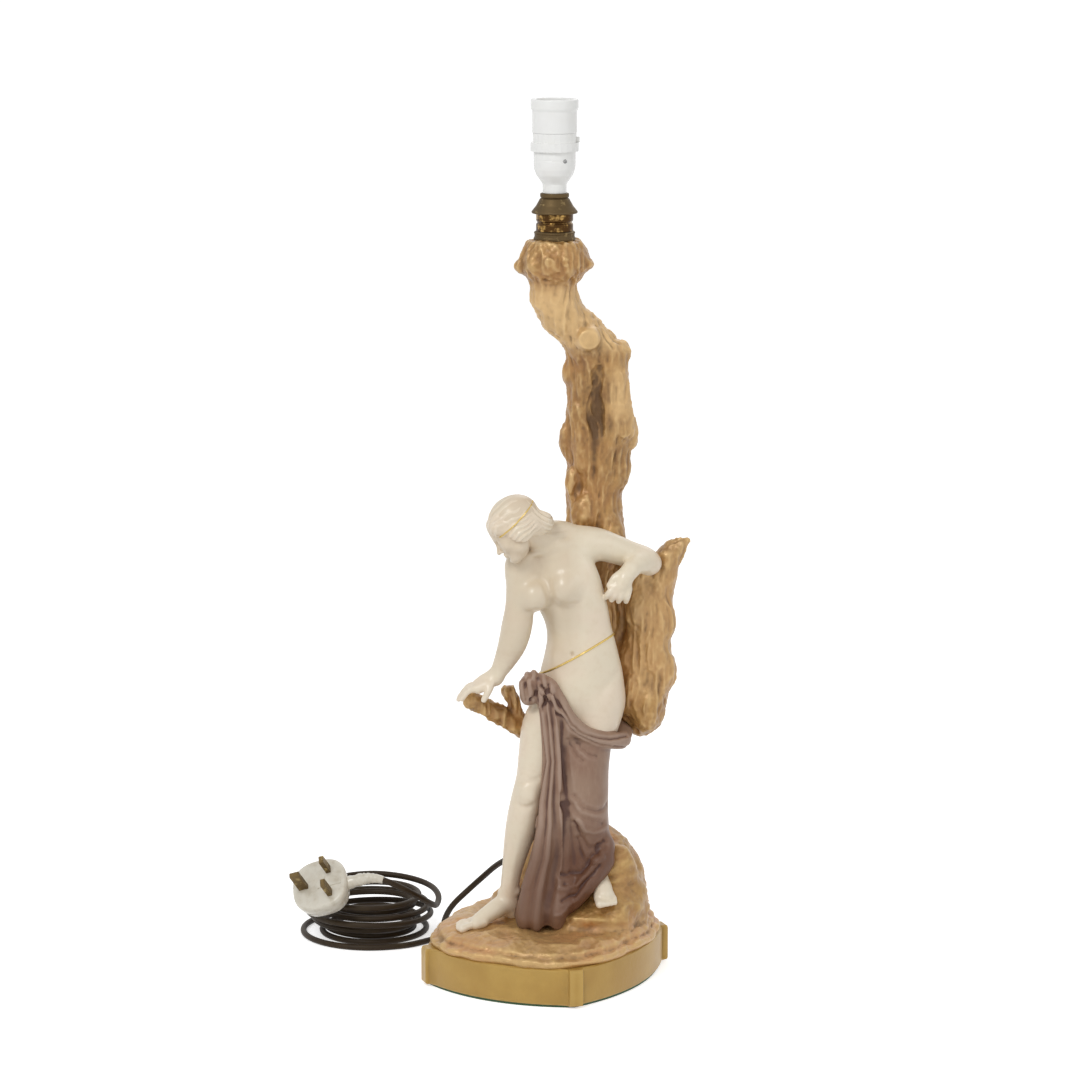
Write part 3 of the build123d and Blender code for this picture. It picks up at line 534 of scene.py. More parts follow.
class Skin:
    """A piece's surface: points in millimetres and four-sided facets, tooled before it is fired."""

    def __init__(self, points, facets):
        self.points = points
        self.facets = facets
        self.marks = {}

    def around(self, values):
        """The mean of each point's neighbours."""
        ends = np.concatenate([self.facets, np.roll(self.facets, -1, axis=1)]).ravel()
        others = np.concatenate([np.roll(self.facets, -1, axis=1), self.facets]).ravel()
        count = np.maximum(np.bincount(ends, minlength=len(self.points)), 1)
        columns = [np.bincount(ends, column[others], len(self.points)) for column in values.T]
        return np.stack(columns, axis=1) / count[:, None]

    def relax(self, times):
        """Smooths the skin."""
        for _ in range(times):
            self.points = 0.5 * self.points + 0.5 * self.around(self.points)

    def outward(self):
        """The surface's direction at each point."""
        first, second, third, fourth = (self.points[corner] for corner in self.facets.T)
        face = np.cross(third - first, fourth - second)
        ends = self.facets.ravel()
        spread = np.repeat(face, 4, axis=0)
        out = np.stack([np.bincount(ends, column, len(self.points)) for column in spread.T], axis=1)
        return out / np.maximum(np.linalg.norm(out, axis=1, keepdims=True), 1e-9)

    def close_to(self, line, reach):
        """Which points lie in the box round a line, with the reach added on every side."""
        inside = (self.points > line.min(0) - reach) & (self.points < line.max(0) + reach)
        return np.where(inside.all(1))[0]

    def stroke(self, path, width, height, steps=4):
        """A ridge, or a groove where height is negative, tooled along a path."""
        line = smoothed(path, steps)
        near = self.close_to(line, 2.5 * width)  # further off it lifts next to nothing
        here = self.points[near]
        away = np.full(len(near), np.inf)
        for start, finish in zip(line, line[1:]):
            run = finish - start
            share = np.clip((here - start) @ run / max(run @ run, 1e-9), 0, 1)
            away = np.minimum(away, np.linalg.norm(here - start - share[:, None] * run, axis=1))
        lift = height * np.exp(-(away / width) ** 2)
        self.points[near] = here + self.outward()[near] * lift[:, None]

    def tooled(self, *strokes):
        """Strokes in order, each a path, a width and a height."""
        for stroke in strokes:
            self.stroke(*stroke)

    def drawn(self, path, steps=5, reach=12):
        """A path laid onto the skin, point by point."""
        line = smoothed(path, steps)
        near = self.points[self.close_to(line, reach)]
        return np.array([near[np.argmin(((near - point) ** 2).sum(1))] for point in line])

    def raised(self, lift):
        """Moves each point outward by its own amount."""
        self.points = self.points + self.outward() * lift[:, None]

    def hollowed(self, depth, times=14):
        """Marks how deep each point lies in a hollow: 0.5 is flat, more is deeper, less is a ridge."""
        mean = self.points
        for _ in range(times):
            mean = self.around(mean)
        sunk = ((mean - self.points) * self.outward()).sum(1)
        self.marks["hollow"] = np.clip(0.5 + 0.5 * sunk / depth, 0, 1)

    def lumpy(self, relief, *lumps):
        """A relief with smooth random lumps added, each a size, a seed and a depth."""
        for size, seed, depth in lumps:
            relief = relief + depth * speckled(self.points, size, seed)
        return relief

    def placed(self, across, middle):
        """Turns the skin to new directions, given as rows, and moves it to a middle."""
        self.points = self.points @ across + middle

    def piece(self, name, finish, slot, *nodes, edge=None):
        """Fires the skin: an object that stands for CAD nodes. Edges over so many degrees stay sharp."""
        mesh = bpy.data.meshes.new(name)
        mesh.from_pydata((self.points * mm).tolist(), [], self.facets.tolist(), shade_flat=False)
        mesh.validate()
        for mark, values in self.marks.items():
            row = mesh.attributes.new(mark, "FLOAT", "POINT")
            row.data.foreach_set("value", values.astype(np.float32))
        if edge:
            mesh.set_sharp_from_angle(angle=radians(edge))
        mesh.materials.append(finish)
        made = shown(name, mesh)
        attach(made, "lamp")
        if nodes:
            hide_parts(*nodes)
        return made


def rounded(outline, radius, closed):
    """An outline of (a, b) points with its corners eased."""
    points = [np.array(point, float) for point in outline]
    eased = []
    for index, corner in enumerate(points):
        if not closed and index in (0, len(points) - 1):
            eased.append(corner)
            continue
        before, after = points[index - 1], points[(index + 1) % len(points)]
        ends = []
        for other in (before, after):
            span = np.linalg.norm(other - corner)
            ends.append(corner + (other - corner) * min(radius / span, 0.45))
        for share in (0, 0.25, 0.5, 0.75, 1):
            back = 1 - share
            eased.append(back ** 2 * ends[0] + 2 * share * back * corner + share ** 2 * ends[1])
    return eased


def ringed(rings, joined=False):
    """A skin over rings of as many points each, closed at its ends or with its last ring on its first."""
    count = len(rings[0])
    points = [point for ring in rings for point in ring]
    facets = []
    for level in range(len(rings) if joined else len(rings) - 1):
        low, high = level * count, (level + 1) % len(rings) * count
        for side in range(count):
            ahead = (side + 1) % count
            facets.append((low + side, low + ahead, high + ahead, high + side))
    if not joined:
        for ring, flip in ((0, True), (len(rings) - 1, False)):
            middle = len(points)
            points.append(np.mean(rings[ring], axis=0))
            for side in range(0, count, 2):
                corners = [ring * count + (side + step) % count for step in range(3)]
                facets.append((middle, *(corners[::-1] if flip else corners)))
    return Skin(np.array(points, float), np.array(facets))


def lathed(outline, ease, joined=False, sides=96):
    """A turned piece on the seat, from the (radius, height) points of its half section, edges eased."""
    turns = [2 * pi * side / sides for side in range(sides)]
    rings = [
        [seat + (radius * cos(turn), radius * sin(turn), rise) for turn in turns]
        for radius, rise in rounded(outline, ease, joined)
    ]
    return ringed(rings, joined)


def tube(path, widths, sides):
    """A round tube along points, with a width at each."""
    path = np.array(path, float)
    along = np.gradient(path, axis=0)
    along /= np.linalg.norm(along, axis=1, keepdims=True)
    side = np.cross(along[0], (0.3, 0.5, 0.8))
    rings = []
    for point, run, width in zip(path, along, widths):
        side = side - run * (side @ run)
        side /= np.linalg.norm(side)
        other = np.cross(run, side)
        turns = [2 * pi * step / sides for step in range(sides)]
        rings.append([point + width * (cos(turn) * side + sin(turn) * other) for turn in turns])
    return ringed(rings)


def band(skin, middle, across, up, width, count=120, stand=0.2, far=120):
    """A band round a skin, in the plane of two directions through a middle."""
    tree = BVHTree.FromPolygons(skin.points.tolist(), skin.facets.tolist())
    path = []
    for step in range(count):
        turn = 2 * pi * step / count
        ray = Vector(cos(turn) * np.array(across) + sin(turn) * np.array(up)).normalized()
        hit = tree.ray_cast(Vector(middle) + ray * far, -ray)[0]
        if hit is not None:
            path.append(np.array(hit + ray * stand))
    return tube(path + path[:1], [width] * (len(path) + 1), 8)


# Figure: the body, modelled with its arms, legs, hands and feet
figure = Clay((-82, -66, 38), (96, 34, 386), 0.7)
figure.stack([
    (192, 27, -8, 25, 18, 0), (212, 29, -9, 30, 22, 0), (230, 28.5, -10, 33.5, 23.5, 0),
    (248, 28, -12, 32.5, 21, 0), (262, 28, -14, 29.5, 18, -4), (276, 27.5, -16, 26.8, 16, -8),
    (289, 25, -18, 26, 16, -10), (302, 21, -20, 28, 17, -13), (316, 16, -21.5, 30, 18, -15),
    (330, 12, -23, 30, 17, -15), (342, 8.5, -23.5, 28, 14, -15), (351, 5, -24.5, 22, 11, -15),
    (359, 1, -26, 11, 8, -15),
], 4)
figure.model(
    ([(4, -22, 348, 12), (-1, -28, 356, 10), (-8, -34, 361, 9.2), (-15, -39, 365, 9)], 8),
    ([(-6, -31, 362, 8), (3, -24, 362.5, 9), (13, -19, 361, 9.5), (24, -16, 354, 11)], 8),
    ((-18, -25.5, 334), (12, 12, 14), 8),
    ((29, -16, 349), (14, 12, 12), 8),
    ([(0, -35, 350, 2.2), (-8, -36, 348, 2.2), (-17, -33, 345, 2.4)], 4),
    ([(5, -35, 352, 2.2), (14, -32, 355, 2.2), (24, -25, 358, 2.4)], 4),
    ((15, -36, 320.5), (12.3, 12, 12.5), 6),
    ((-8.5, -36.5, 314.5), (12, 12, 12.3), 6),
    ((23, -24, 262), (18, 11, 19), 10),
    ((23, -24, 238), (19, 12, 15), 10),
    ((20.5, -35.2, 268), (1.3, 2.0, 1.8), 2, (0, 0, 0), True),
    ((18, 6, 214), (15, 14, 16), 8),
    ((41, 6, 214), (15, 14, 16), 8),
    ([(39, -12, 224, 22), (36, -15, 204, 19), (33, -19, 184, 14), (31, -20, 150, 11), (33, -18, 120, 9),
        (40, -17, 92, 7), (43.5, -20, 77, 6.5)], 6),
    ([(12, -13, 226, 21), (0, -19, 206, 18.8), (-5.5, -22.5, 186, 16), (-10.5, -25, 167, 12.8),
        (-15.3, -25, 149, 12.2), (-19, -22.5, 130, 12.2), (-22.8, -19.5, 110, 10.6), (-26.6, -16.5, 90, 8.1),
        (-29, -13.5, 72, 7.2), (-29, -9.5, 61, 7.4)], 8),
    ((-14.5, -35, 156), (5.5, 4, 7), 6),
    ((-15, -14, 132), (9.5, 9.5, 18), 8),
    ((-35.5, -13.5, 70), (2.6, 3.2, 3.4), 3),
    ((-22.8, -15, 72), (2.6, 3.2, 3.4), 3),
)

# Right foot: heel, arch and toes
figure.model(
    ([(-22.5, -3, 53.5, 6.8), (-27, -6.5, 54, 7.6)], 4),
    ([(-29, -9, 62, 7.8), (-38, -15.5, 58, 7.6), (-47, -21.5, 53.5, 6.6), (-54.5, -26.5, 50, 5.2)], 4),
    ([(-50, -28, 49.5, 4.4), (-55.5, -32, 48.6, 4.3)], 3),
    ([(-53, -20, 49, 4), (-60, -22, 48, 3.6)], 3),
)
for side, reach in enumerate((11.5, 12.5, 11, 9, 7)):
    start = np.array([-56.2 - 1.9 * side, -32.2 + 3.1 * side, 48.2])
    finish = start + (-0.85 * reach, -0.53 * reach, -1.6)
    thick = 3.1 if side == 0 else 2.3 - 0.1 * side
    arch = 0.5 * start + 0.5 * finish + (0, 0, 0.8)
    figure.limb([(*start, thick), (*arch, thick * 0.95), (*finish, thick)], 1.2)

# Left foot: the toes that show under the drape
figure.model(
    ([(42, -18, 80, 7), (44.5, -27, 77, 8), (46.5, -34, 73, 6.4)], 4),
    ([(43, -34, 71.5, 5), (50, -32.5, 71.5, 4.6)], 3),
)
for side, reach in enumerate((6.5, 7, 6.2, 5.2, 4)):
    start = np.array([41.4 + 3.1 * side, -36.5 + 0.6 * side, 71.0])
    thick = 3.3 if side == 0 else 2.6 - 0.1 * side
    finish = start + (0.15 * reach, -reach, -2.8)
    figure.limb([(*start, thick), (*finish, thick * 0.95)], 1.2)

# Right arm, and the hand that leans on the branch
figure.model(
    ([(-19, -26, 336, 12), (-19.5, -28, 322, 11.5), (-20.5, -29, 305, 11.2), (-22.5, -28.5, 290, 12),
        (-26, -27, 275, 11.2), (-31.5, -25.5, 262, 8.8), (-36.5, -24.5, 252.5, 6.8),
        (-40, -24, 247, 6.2)], 7),
    ((-19, -22, 289), (5, 5, 7), 6),
    ([(-40, -24, 247, 6), (-47, -24, 244, 6.2), (-52.5, -24, 240.5, 5.6)], 4),
    ([(-47, -30, 242, 4.2), (-53, -30, 239, 4)], 3),
)
for side, reach in enumerate((15.5, 18, 17, 14)):
    start = np.array([-52.5 - 0.4 * side, -30.5 + 3.9 * side, 239.5 + 0.3 * side])
    knuckle = start + (-0.5 * reach, -0.12 * reach, -0.10 * reach)
    tip = start + (-0.86 * reach, -0.16 * reach, -0.52 * reach)
    figure.limb([(*start, 2.7), (*knuckle, 2.4), (*tip, 2.0)], 1.2)
figure.limb([(-42, -29, 245, 3.2), (-45, -34, 238, 2.9), (-48.5, -36, 231.5, 2.3)], 2)

# Left arm over the stump, with the hand hanging from the wrist
figure.model(
    ([(24, -17, 350, 13), (38, -15, 352, 12.6), (52, -12, 347.5, 11.6), (66, -8, 342, 10.4),
        (77, -4, 338, 9.6), (82, -3, 334, 8.6)], 7),
    ([(80, -3, 334, 9), (76, -11, 336, 8.8), (70.5, -19, 336, 8), (66, -25, 333, 6.6)], 4),
    ([(66, -26, 333, 6.4), (62, -29.5, 328, 6.6), (58.5, -32, 322, 5.6)], 3),
    ([(61, -30, 326, 5), (62.5, -29, 320, 4.4)], 3),
)
for side, (lean, reach) in enumerate(((-0.85, 11), (-0.62, 12.5), (-0.40, 13), (-0.18, 12))):
    start = np.array([54.0 + 3.4 * side, -33.6 + 1.0 * side, 321.0 - 1.0 * side])
    knuckle = start + (lean * 0.5 * reach, -1.8, -0.40 * reach)
    tip = start + (lean * 0.8 * reach, 2.2, -0.78 * reach)
    figure.limb([(*start, 3.1), (*knuckle, 2.8), (*tip, 2.2)], 1.8)
figure.limb([(60, -28, 331, 3.4), (54, -31, 328, 3.1), (49.5, -32.5, 322, 2.5)], 2.5)

body = figure.cast()
body.tooled(
    ([(9, -40, 300), (15, -38, 286), (20, -36, 272)], 3.5, -0.9),
    ([(-4, -41, 334), (1, -42, 322), (4, -41, 308)], 4, -1.2),
    ([(-22, -33, 330), (-19, -37, 322), (-17, -38, 314)], 3, -1.2),
    ([(34, -24, 340), (31, -27, 330), (29, -27, 320)], 3, -1.3),
    ([(-14, -40, 303), (-6, -42, 301), (3, -39, 304)], 2.2, -0.8),
    ([(6, -41, 308), (15, -44, 306.5), (25, -39, 310)], 2.2, -0.9),
    ([(2, -36, 247), (8, -36, 236), (14, -37, 228)], 3, -1.0),
    ([(55, -22, 250), (46, -29, 240), (38, -31, 230)], 4, -0.8),
    ([(12, -7, 342), (18, -4, 320), (24, -2, 300), (28, 2, 275), (29, 7, 250)], 4, -1.6),
    ([(-7, -37, 168), (-13, -38, 166), (-20, -35, 165)], 2.5, -0.8),
    ([(-11, -37, 147), (-16, -37, 145), (-21, -34, 147)], 2.5, -0.7),
    ([(-18, -34, 140), (-21, -31, 120), (-25, -26, 98), (-28, -21, 80)], 2.2, 0.5),
    ([(-4, -36, 360), (-5, -36, 354), (-3, -36.5, 350)], 2.0, -0.8),
)
body.hollowed(1.0)
x, y, z = body.points.T
# Painted shade: the torso is darkened on the figure's right, from the waist up.
body.marks["painted_shade"] = np.minimum(ramp(x, 30, -22), 0.6) * ramp(z, 248, 20)
body.piece(
    "figure", ivory_porcelain, "ivory_porcelain", "torso", "neck", "arm_right", "hand_right", "arm_left",
    "forearm_left", "hand_left", "leg_right", "foot_right", "foot_left",
)

# Head: modelled upright, with x to the figure's left, y to its back and z up, then bowed to its place
head_middle = np.array([-24.2, -40.8, 367.7])
head_across = np.array([[0.100, -0.980, 0.170], [0.800, 0.182, 0.572], [-0.592, 0.079, 0.802]])
clay = Clay((-24, -28, -30), (24, 36, 30), 0.42)
clay.model(
    ((0, 2.5, 5.5), (15.5, 19, 17), 5),
    ((0, -6.5, -6.5), (11.6, 11.5, 15), 6),
    ((0, -13, -18.2), (4.6, 4.0, 3.8), 5),
)
for side in (1, -1):
    clay.model(
        ((side * 8, -3.5, -12.5), (4, 5, 4.5), 5),
        ((side * 7.2, -12.6, -5.5), (4.2, 3.8, 4.4), 4),
    )
clay.lump((0, -11.5, 7.5), (10.5, 5.6, 8), 6)
for side in (1, -1):
    clay.model(
        ([(side * 7.8, -13.4, 2.2, 1.2), (side * 4.6, -15.6, 3.1, 1.3), (side * 1.8, -16.4, 2.0, 1.3)], 3),
        ((side * 5.3, -18.2, -0.9), (3.2, 2.6, 2.2), 2, (0, 0, 0), True),
        ((side * 5.2, -14.3, -1.2), (3.0, 2.9, 2.5), 1.2),
    )
clay.limb([(0, -16.4, 1.6, 1.2), (0, -18.4, -3.2, 1.3), (0, -20.6, -7.4, 1.7)], 2)
for side in (1, -1):
    clay.lump((side * 1.9, -18.6, -8.0), (1.2, 1.6, 1.1), 1)
clay.model(
    ([(-3.7, -16.3, -12.1, 0.6), (-1.1, -17.9, -11.3, 0.95), (0, -17.9, -11.5, 0.9),
        (1.1, -17.9, -11.3, 0.95), (3.7, -16.3, -12.1, 0.6)], 1),
    ([(-2.9, -16.4, -13.0, 0.6), (0, -17.7, -13.5, 1.15), (2.9, -16.4, -13.0, 0.6)], 1),
    ((0, -16.6, -15.6), (3, 1.3, 1.0), 1.6, (0, 0, 0), True),
    ((0, 4.5, 7.5), (17.6, 20.5, 17.6), 1.2),
)
face = clay.cast(1)
hair = Clay((-26, -28, -30), (26, 40, 34), 0.42)
hair.lump((0, 4.0, 7.2), (17.6, 20.6, 17.8), 2)
for side in (1, -1):
    hair.model(
        ((side * 12.5, 4, -3), (5.4, 11, 9), 5, (0, 0, side * 12)),
        ((side * 9.5, -10.5, 10), (7.5, 6.5, 7.5), 4),
    )
hair.model(
    ((0, 15, -5), (12, 9, 11), 6),
    ((0, 20.5, -8.5), (9.5, 8.5, 8.5), 3),
    ((0, -22, -8.5), (12.4, 16, 17.5), 2.5, (0, 0, 0), True),
)
locks = hair.cast()
x, y, z = locks.points.T
around_head = np.arctan2(z + 2, x)
flow = 0.5 * speckled(locks.points, (9, 9, 9), 3)
strands = 0.34 * np.sin(26 * around_head + 6 * flow) * ramp(y, 18, -6)
locks.raised(strands + 0.12 * speckled(locks.points, (1.6, 7, 1.6), 4))
around_bun = np.arctan2(z + 8.5, x) + 0.22 * (y - 20)
locks.raised(0.5 * np.sin(7 * around_bun) * ramp(y, 17, 3))
# Painted shade: much on the face, little on the hair.
for made, painted_shade in ((face, 0.6), (locks, 0.15)):
    made.placed(head_across, head_middle)
    made.marks["painted_shade"] = np.full(len(made.points), painted_shade)
    made.hollowed(0.55, 10)
face.piece("figure_head", ivory_porcelain, "ivory_porcelain", "head")
locks.piece("figure_hair", ivory_porcelain, "ivory_porcelain", "hair", "hair_bun")

# Gold lines: the fillet round the hair and the cord round the hips
fillet_slope = head_across[1] + 0.16 * head_across[2]
fillet_side = head_across[0] - 0.15 * head_across[2]
fillet = band(locks, head_middle + 6.5 * head_across[2], fillet_slope, fillet_side, 0.55)
fillet.piece("hair_fillet", gold_line, "ochre_glaze")
girdle = band(body, (26, -12, 265), (0.87, 0.0, 0.49), (0.15, 1.0, 0.0), 0.8)
girdle.piece("girdle", gold_line, "ochre_glaze")

# Drape: it hangs from a knot at the right hip and crosses the left thigh in a roll
cloth = Clay((-50, -66, 40), (84, 40, 262), 0.9)
cloth.stack([
    (50, 0, -14, 25, 25, 0), (62, 4, -14, 27, 25, 0), (90, 15, -12, 30, 24, 0), (108, 20, -11, 30, 24, 0),
    (124, 21.5, -11.5, 28.5, 26, 0), (136, 22.5, -13, 27, 29, 0), (150, 23.5, -13, 26, 30, 0),
    (170, 25, -12, 24.8, 29, 0), (194, 27, -11, 25.5, 28, 0), (206, 29, -9, 28, 26, 0),
], 5, 2.2)
cloth.model(
    ((27, -60, 236), (33, 28, 33), 2, (0, -35, 0), True),
    ([(0, -37, 238, 8), (3, -37, 215, 7.5), (5, -37, 185, 8), (3, -36, 150, 8.5), (-1, -36, 115, 9.5),
        (-6, -34, 85, 11), (-9, -31, 56, 13)], 7),
    ((-12, -33, 240), (9.5, 8.5, 14), 4, (0, 12, 0)),
    ([(-8, -34, 247, 6), (2, -37, 243, 6.5), (9, -39, 232, 6.8), (18, -40, 217, 6.4), (28, -38, 207, 6.2),
        (40, -34, 200, 6.2), (52, -26, 196.5, 6.6), (60, -15, 194.5, 6.8), (61, 0, 197, 6.6)], 3.5),
    ([(61, 0, 197, 6.5), (52, 16, 204, 7), (30, 22, 214, 7), (6, 12, 226, 7), (-8, -6, 236, 7),
        (-13, -22, 242, 7), (-10, -32, 246, 6)], 4),
    ([(10, -34, 62, 10), (20, -34, 70, 10), (30, -32, 82, 9.5), (39, -28, 95, 9), (46, -20, 108, 8.5)], 9),
    ([(22, -24, 84, 14), (34, -20, 98, 13)], 8),
    ([(30, -27, 86, 9), (40, -25, 91, 8), (47, -20, 97, 7)], 6),
    ((14, -36, 209), (8, 7, 12), 6),
)
swathe = cloth.cast()


def hung_folds(points):
    """The main folds: they fan from the knot to the hem, each a ridge or a hollow across the cloth."""
    x, y, z = points.T
    levels = (56, 80, 105, 133, 151, 184, 214, 240)
    left = np.interp(z, levels, (-22, -19, -10.5, -5, -4, 1, -2, -6))
    right = np.interp(z, levels, (20, 21, 22, 18.5, 16, 13.5, 12, 9))
    across = (x - left) / (right - left)
    places = (-0.1, 0.0, 0.10, 0.22, 0.36, 0.44, 0.56, 0.70, 0.80, 0.90, 1.0, 1.12, 1.4)
    relief = (-0.6, 0.6, 0.5, -1.0, 0.7, -0.5, -0.9, 1.2, 0.9, -0.4, -1.5, -0.9, 0.0)
    fine_places = np.linspace(places[0], places[-1], 61)
    padded = np.pad(np.interp(fine_places, places, relief), 2, mode="edge")
    eased = np.interp(across, fine_places, np.convolve(padded, np.full(5, 0.2), "valid"))
    depth = np.interp(z, (56, 90, 150, 215, 236, 246), (2.6, 2.6, 2.2, 1.6, 1.0, 0))
    return eased * depth * ramp(y, -18, -8) * (across > places[0]) * (across < places[-1])


swathe.raised(hung_folds(swathe.points))
for line, width, height in (
    ([(15, -46, 158), (19, -46, 146), (27, -45, 139), (38, -42, 134), (48, -32, 130)], 3.0, -1.3),
    ([(21, -44, 132), (25, -42, 122), (33, -38, 113), (46, -28, 110)], 2.4, -1.6),
    ([(16, -44, 150), (18, -42, 128), (18, -42, 104), (16, -42, 84)], 2.6, -1.8),
    ([(24, -44, 134), (30, -41, 127), (38, -36, 124), (50, -24, 126)], 2.2, 1.2),
    ([(22, -44, 156), (30, -42, 146), (42, -36, 142), (52, -22, 144)], 2.6, -1.3),
    ([(24, -42, 118), (28, -40, 104), (38, -34, 98)], 2.0, -1.6),
    ([(14, -46, 92), (24, -44, 96), (36, -38, 106), (47, -28, 116)], 2.4, -2.4),
    ([(12, -46, 82), (22, -44, 84), (34, -40, 94), (44, -32, 104)], 2.2, 1.6),
    ([(14, -46, 72), (22, -44, 76), (32, -41, 86), (42, -35, 97)], 2.0, -2.2),
    ([(8, -46, 60), (16, -45, 64), (26, -42, 74), (36, -37, 86)], 1.8, 1.2),
    ([(-4, -42, 244), (6, -44, 237), (13, -46, 225), (23, -46, 211), (36, -41, 203), (50, -33, 199),
        (62, -18, 197)], 1.3, -1.8),
    ([(-4, -42, 238), (5, -45, 229), (14, -47, 216), (26, -45, 205), (40, -39, 198), (54, -30, 193),
        (64, -14, 191)], 1.3, -1.8),
    ([(3, -42, 234), (12, -46, 220), (24, -46, 208), (38, -40, 200), (52, -31, 196)], 1.2, 0.9),
    ([(-16, -40, 251), (-18, -41, 242), (-17, -41, 231)], 1.5, -1.6),
    ([(-11, -42, 252), (-13, -44, 242), (-13, -42, 230)], 1.4, 0.9),
    ([(-7, -42, 252), (-8, -44, 241), (-11, -42, 229)], 1.5, -2.0),
    ([(-2, -42, 249), (-3, -44, 238), (-6, -43, 227)], 1.4, 1.0),
    ([(2, -43, 246), (0, -45, 236), (-3, -44, 225)], 1.5, -1.9),
    ([(17, -42, 200), (23, -42, 190), (29, -41, 184)], 2.0, -1.0),
    ([(24, -42, 198), (32, -40, 190), (40, -36, 186)], 2.0, -1.0),
    ([(42, 20, 200), (40, 18, 150), (38, 16, 110)], 3.0, -1.6),
    ([(56, 2, 188), (52, 2, 150), (50, 0, 118)], 3.0, -1.2),
    ([(20, 18, 200), (18, 18, 150), (16, 16, 100)], 3.0, -1.6),
):
    swathe.stroke(swathe.drawn(line), width, height, 1)
x, y, z = swathe.points.T
gathered = ramp(z, 227, 6) * ramp(x, 3, -5) * ramp(y, -22, -6)
wander = 1.3 * speckled(swathe.points, (7, 7, 12), 12)
swathe.raised(0.8 * gathered * np.sin(0.95 * (x + 0.3 * (z - 240)) + wander))
swathe.raised(0.3 * speckled(swathe.points, (8, 8, 16), 11))
swathe.hollowed(1.1, 12)
x, y, z = swathe.points.T
# Painted shade: the cloth below the knee, falling back under the thigh, is darkened, more towards the
# figure's left.
swathe.marks["low"] = ramp(z, 138, -34) * np.clip(0.9 + (x - 16) / 30, 0.65, 1)
swathe.piece("drape_cloth", mauve_glaze, "mauve_glaze", "drape", "drape_roll")

# Tree: trunk, crook, burl, knot, stump, branch and twig in one clay
tree = Clay((-68, -28, 38), (120, 64, 592), 1.0)
tree.stack([
    (38, 14, 25, 36, 32, 0), (78, 14, 26.5, 30, 28, 10), (126, 17, 28, 24, 23, 20),
    (170, 23, 28, 24, 23, 30), (212, 33, 28, 28.5, 24.5, 20), (254, 38.5, 26.5, 27.5, 24, 0),
    (298, 40, 24, 25, 23, 0), (340, 40.5, 22, 24, 22, -10), (380, 38, 20, 21.5, 20.5, -20),
    (410, 40.5, 18.5, 23.3, 21, -10), (435, 42, 17.5, 25, 22, 0), (461, 40, 16, 24, 21.5, 10),
    (487, 39.5, 14.5, 23.5, 21, 10), (504, 38.5, 12.5, 20, 18.5, 0),
], 4)
tree.limb([
    (42, 12, 492, 19), (36.5, 9, 504, 19), (25, 5.5, 517, 16.8), (13, 3, 528.5, 16.8), (7, 1, 543, 17.2),
    (6, 0, 557, 18), (6, 0, 567, 20),
], 7)
tree.stack([
    (556, 6, 0, 19, 19, 0), (565, 6.3, 0, 26.5, 25.5, 0), (571, 6.7, 0, 28, 27, 0),
    (578, 6.7, 0, 26.5, 26, 0), (584, 6.7, 0, 23.5, 23.5, 0), (588, 6.7, 0, 21.5, 21.5, 0),
], 3)
burl_x = 6.7
for angle, rise, out, size in (
    (188, 568, 25, 7), (-8, 570, 24, 7.5), (-70, 574, 22, 4), (-100, 573, 23.5, 4.5), (-130, 570, 24, 5),
    (-40, 571, 23, 5.5), (30, 570, 23, 6), (70, 569, 23, 6), (115, 570, 23, 6), (150, 571, 22, 6),
    (-20, 583, 18, 4.5), (170, 583, 19, 4), (80, 584, 18, 4),
):
    place = (burl_x + out * cos(radians(angle)), out * sin(radians(angle)), rise)
    tree.lump(place, (size, size, size * 0.8), 3)
tree.model(
    ([(76, 13, 203, 10), (78, 12.5, 213, 16.5), (79, 12.5, 232, 19), (80, 12.5, 265, 18.4),
        (81.5, 11.5, 296, 17.5), (87, 10.5, 316, 14.8), (94, 10, 332, 11), (102, 10, 343, 8.6),
        (111, 10, 350, 3.6)], 8),
    ([(82, 7, 300, 12), (74, 4, 316, 9), (77, 2, 329, 8), (79, 2, 335, 6)], 4),
    ([(60, 16, 250, 16), (74, 14, 262, 14)], 8),
    ([(56, 18, 214, 14), (70, 14, 212, 12), (76, 12, 208, 11)], 8),
    ([(22, 19, 177, 11), (-1, 8, 191, 9.6), (-18, 1, 201, 8.6), (-39, -8, 214.5, 7.4),
        (-58, -15.5, 226.5, 6.8)], 5),
    ([(-19, 0, 203, 6), (-23.5, -2, 217, 5), (-29, -4.5, 231, 5.4)], 4),
    ((-29.5, -5, 233), (6, 5, 4), 2),
    ([(34, 2, 512, 10), (33, -10, 512.5, 10)], 4),
    ((33, -24, 513), (14, 7.4, 14), 1, (0, 0, 0), True),
    ((66, 15, 436), (7.5, 9, 13), 5),
    ((18, 10, 484), (5, 7, 9), 4),
    ((60, 6, 500), (6, 8, 9), 5),
    ((20, 4, 398), (5, 6, 12), 5),
    ([(41, -8, 486, 4), (38, -7, 466, 7.5), (39, -6.5, 446, 7.5), (43, -8, 428, 4)], 4, True),
    ([(53, 2, 496, 8), (56, 1, 476, 9), (58, 2, 456, 9), (61, 4, 440, 8)], 7),
    ([(25, 3, 452, 6), (27, 2, 434, 6.5), (29, 3, 412, 5)], 6),
    ([(30, 0, 500, 7), (42, -4, 503, 7), (52, 0, 497, 7)], 6),
)
for x, y, z, size in (
    (94, 2, 246, 9), (68, 2, 226, 9), (92, 4, 286, 9), (72, 0, 296, 8), (86, -2, 262, 8), (80, -2, 216, 9),
    (28, 2, 372, 9), (52, 4, 352, 9), (18, 16, 430, 8), (58, 14, 404, 8), (16, 3, 536, 7), (-4, -6, 546, 6),
):
    tree.lump((x, y, z), (size, size, size * 1.7), 9, (0, 8 * sin(z), 0))

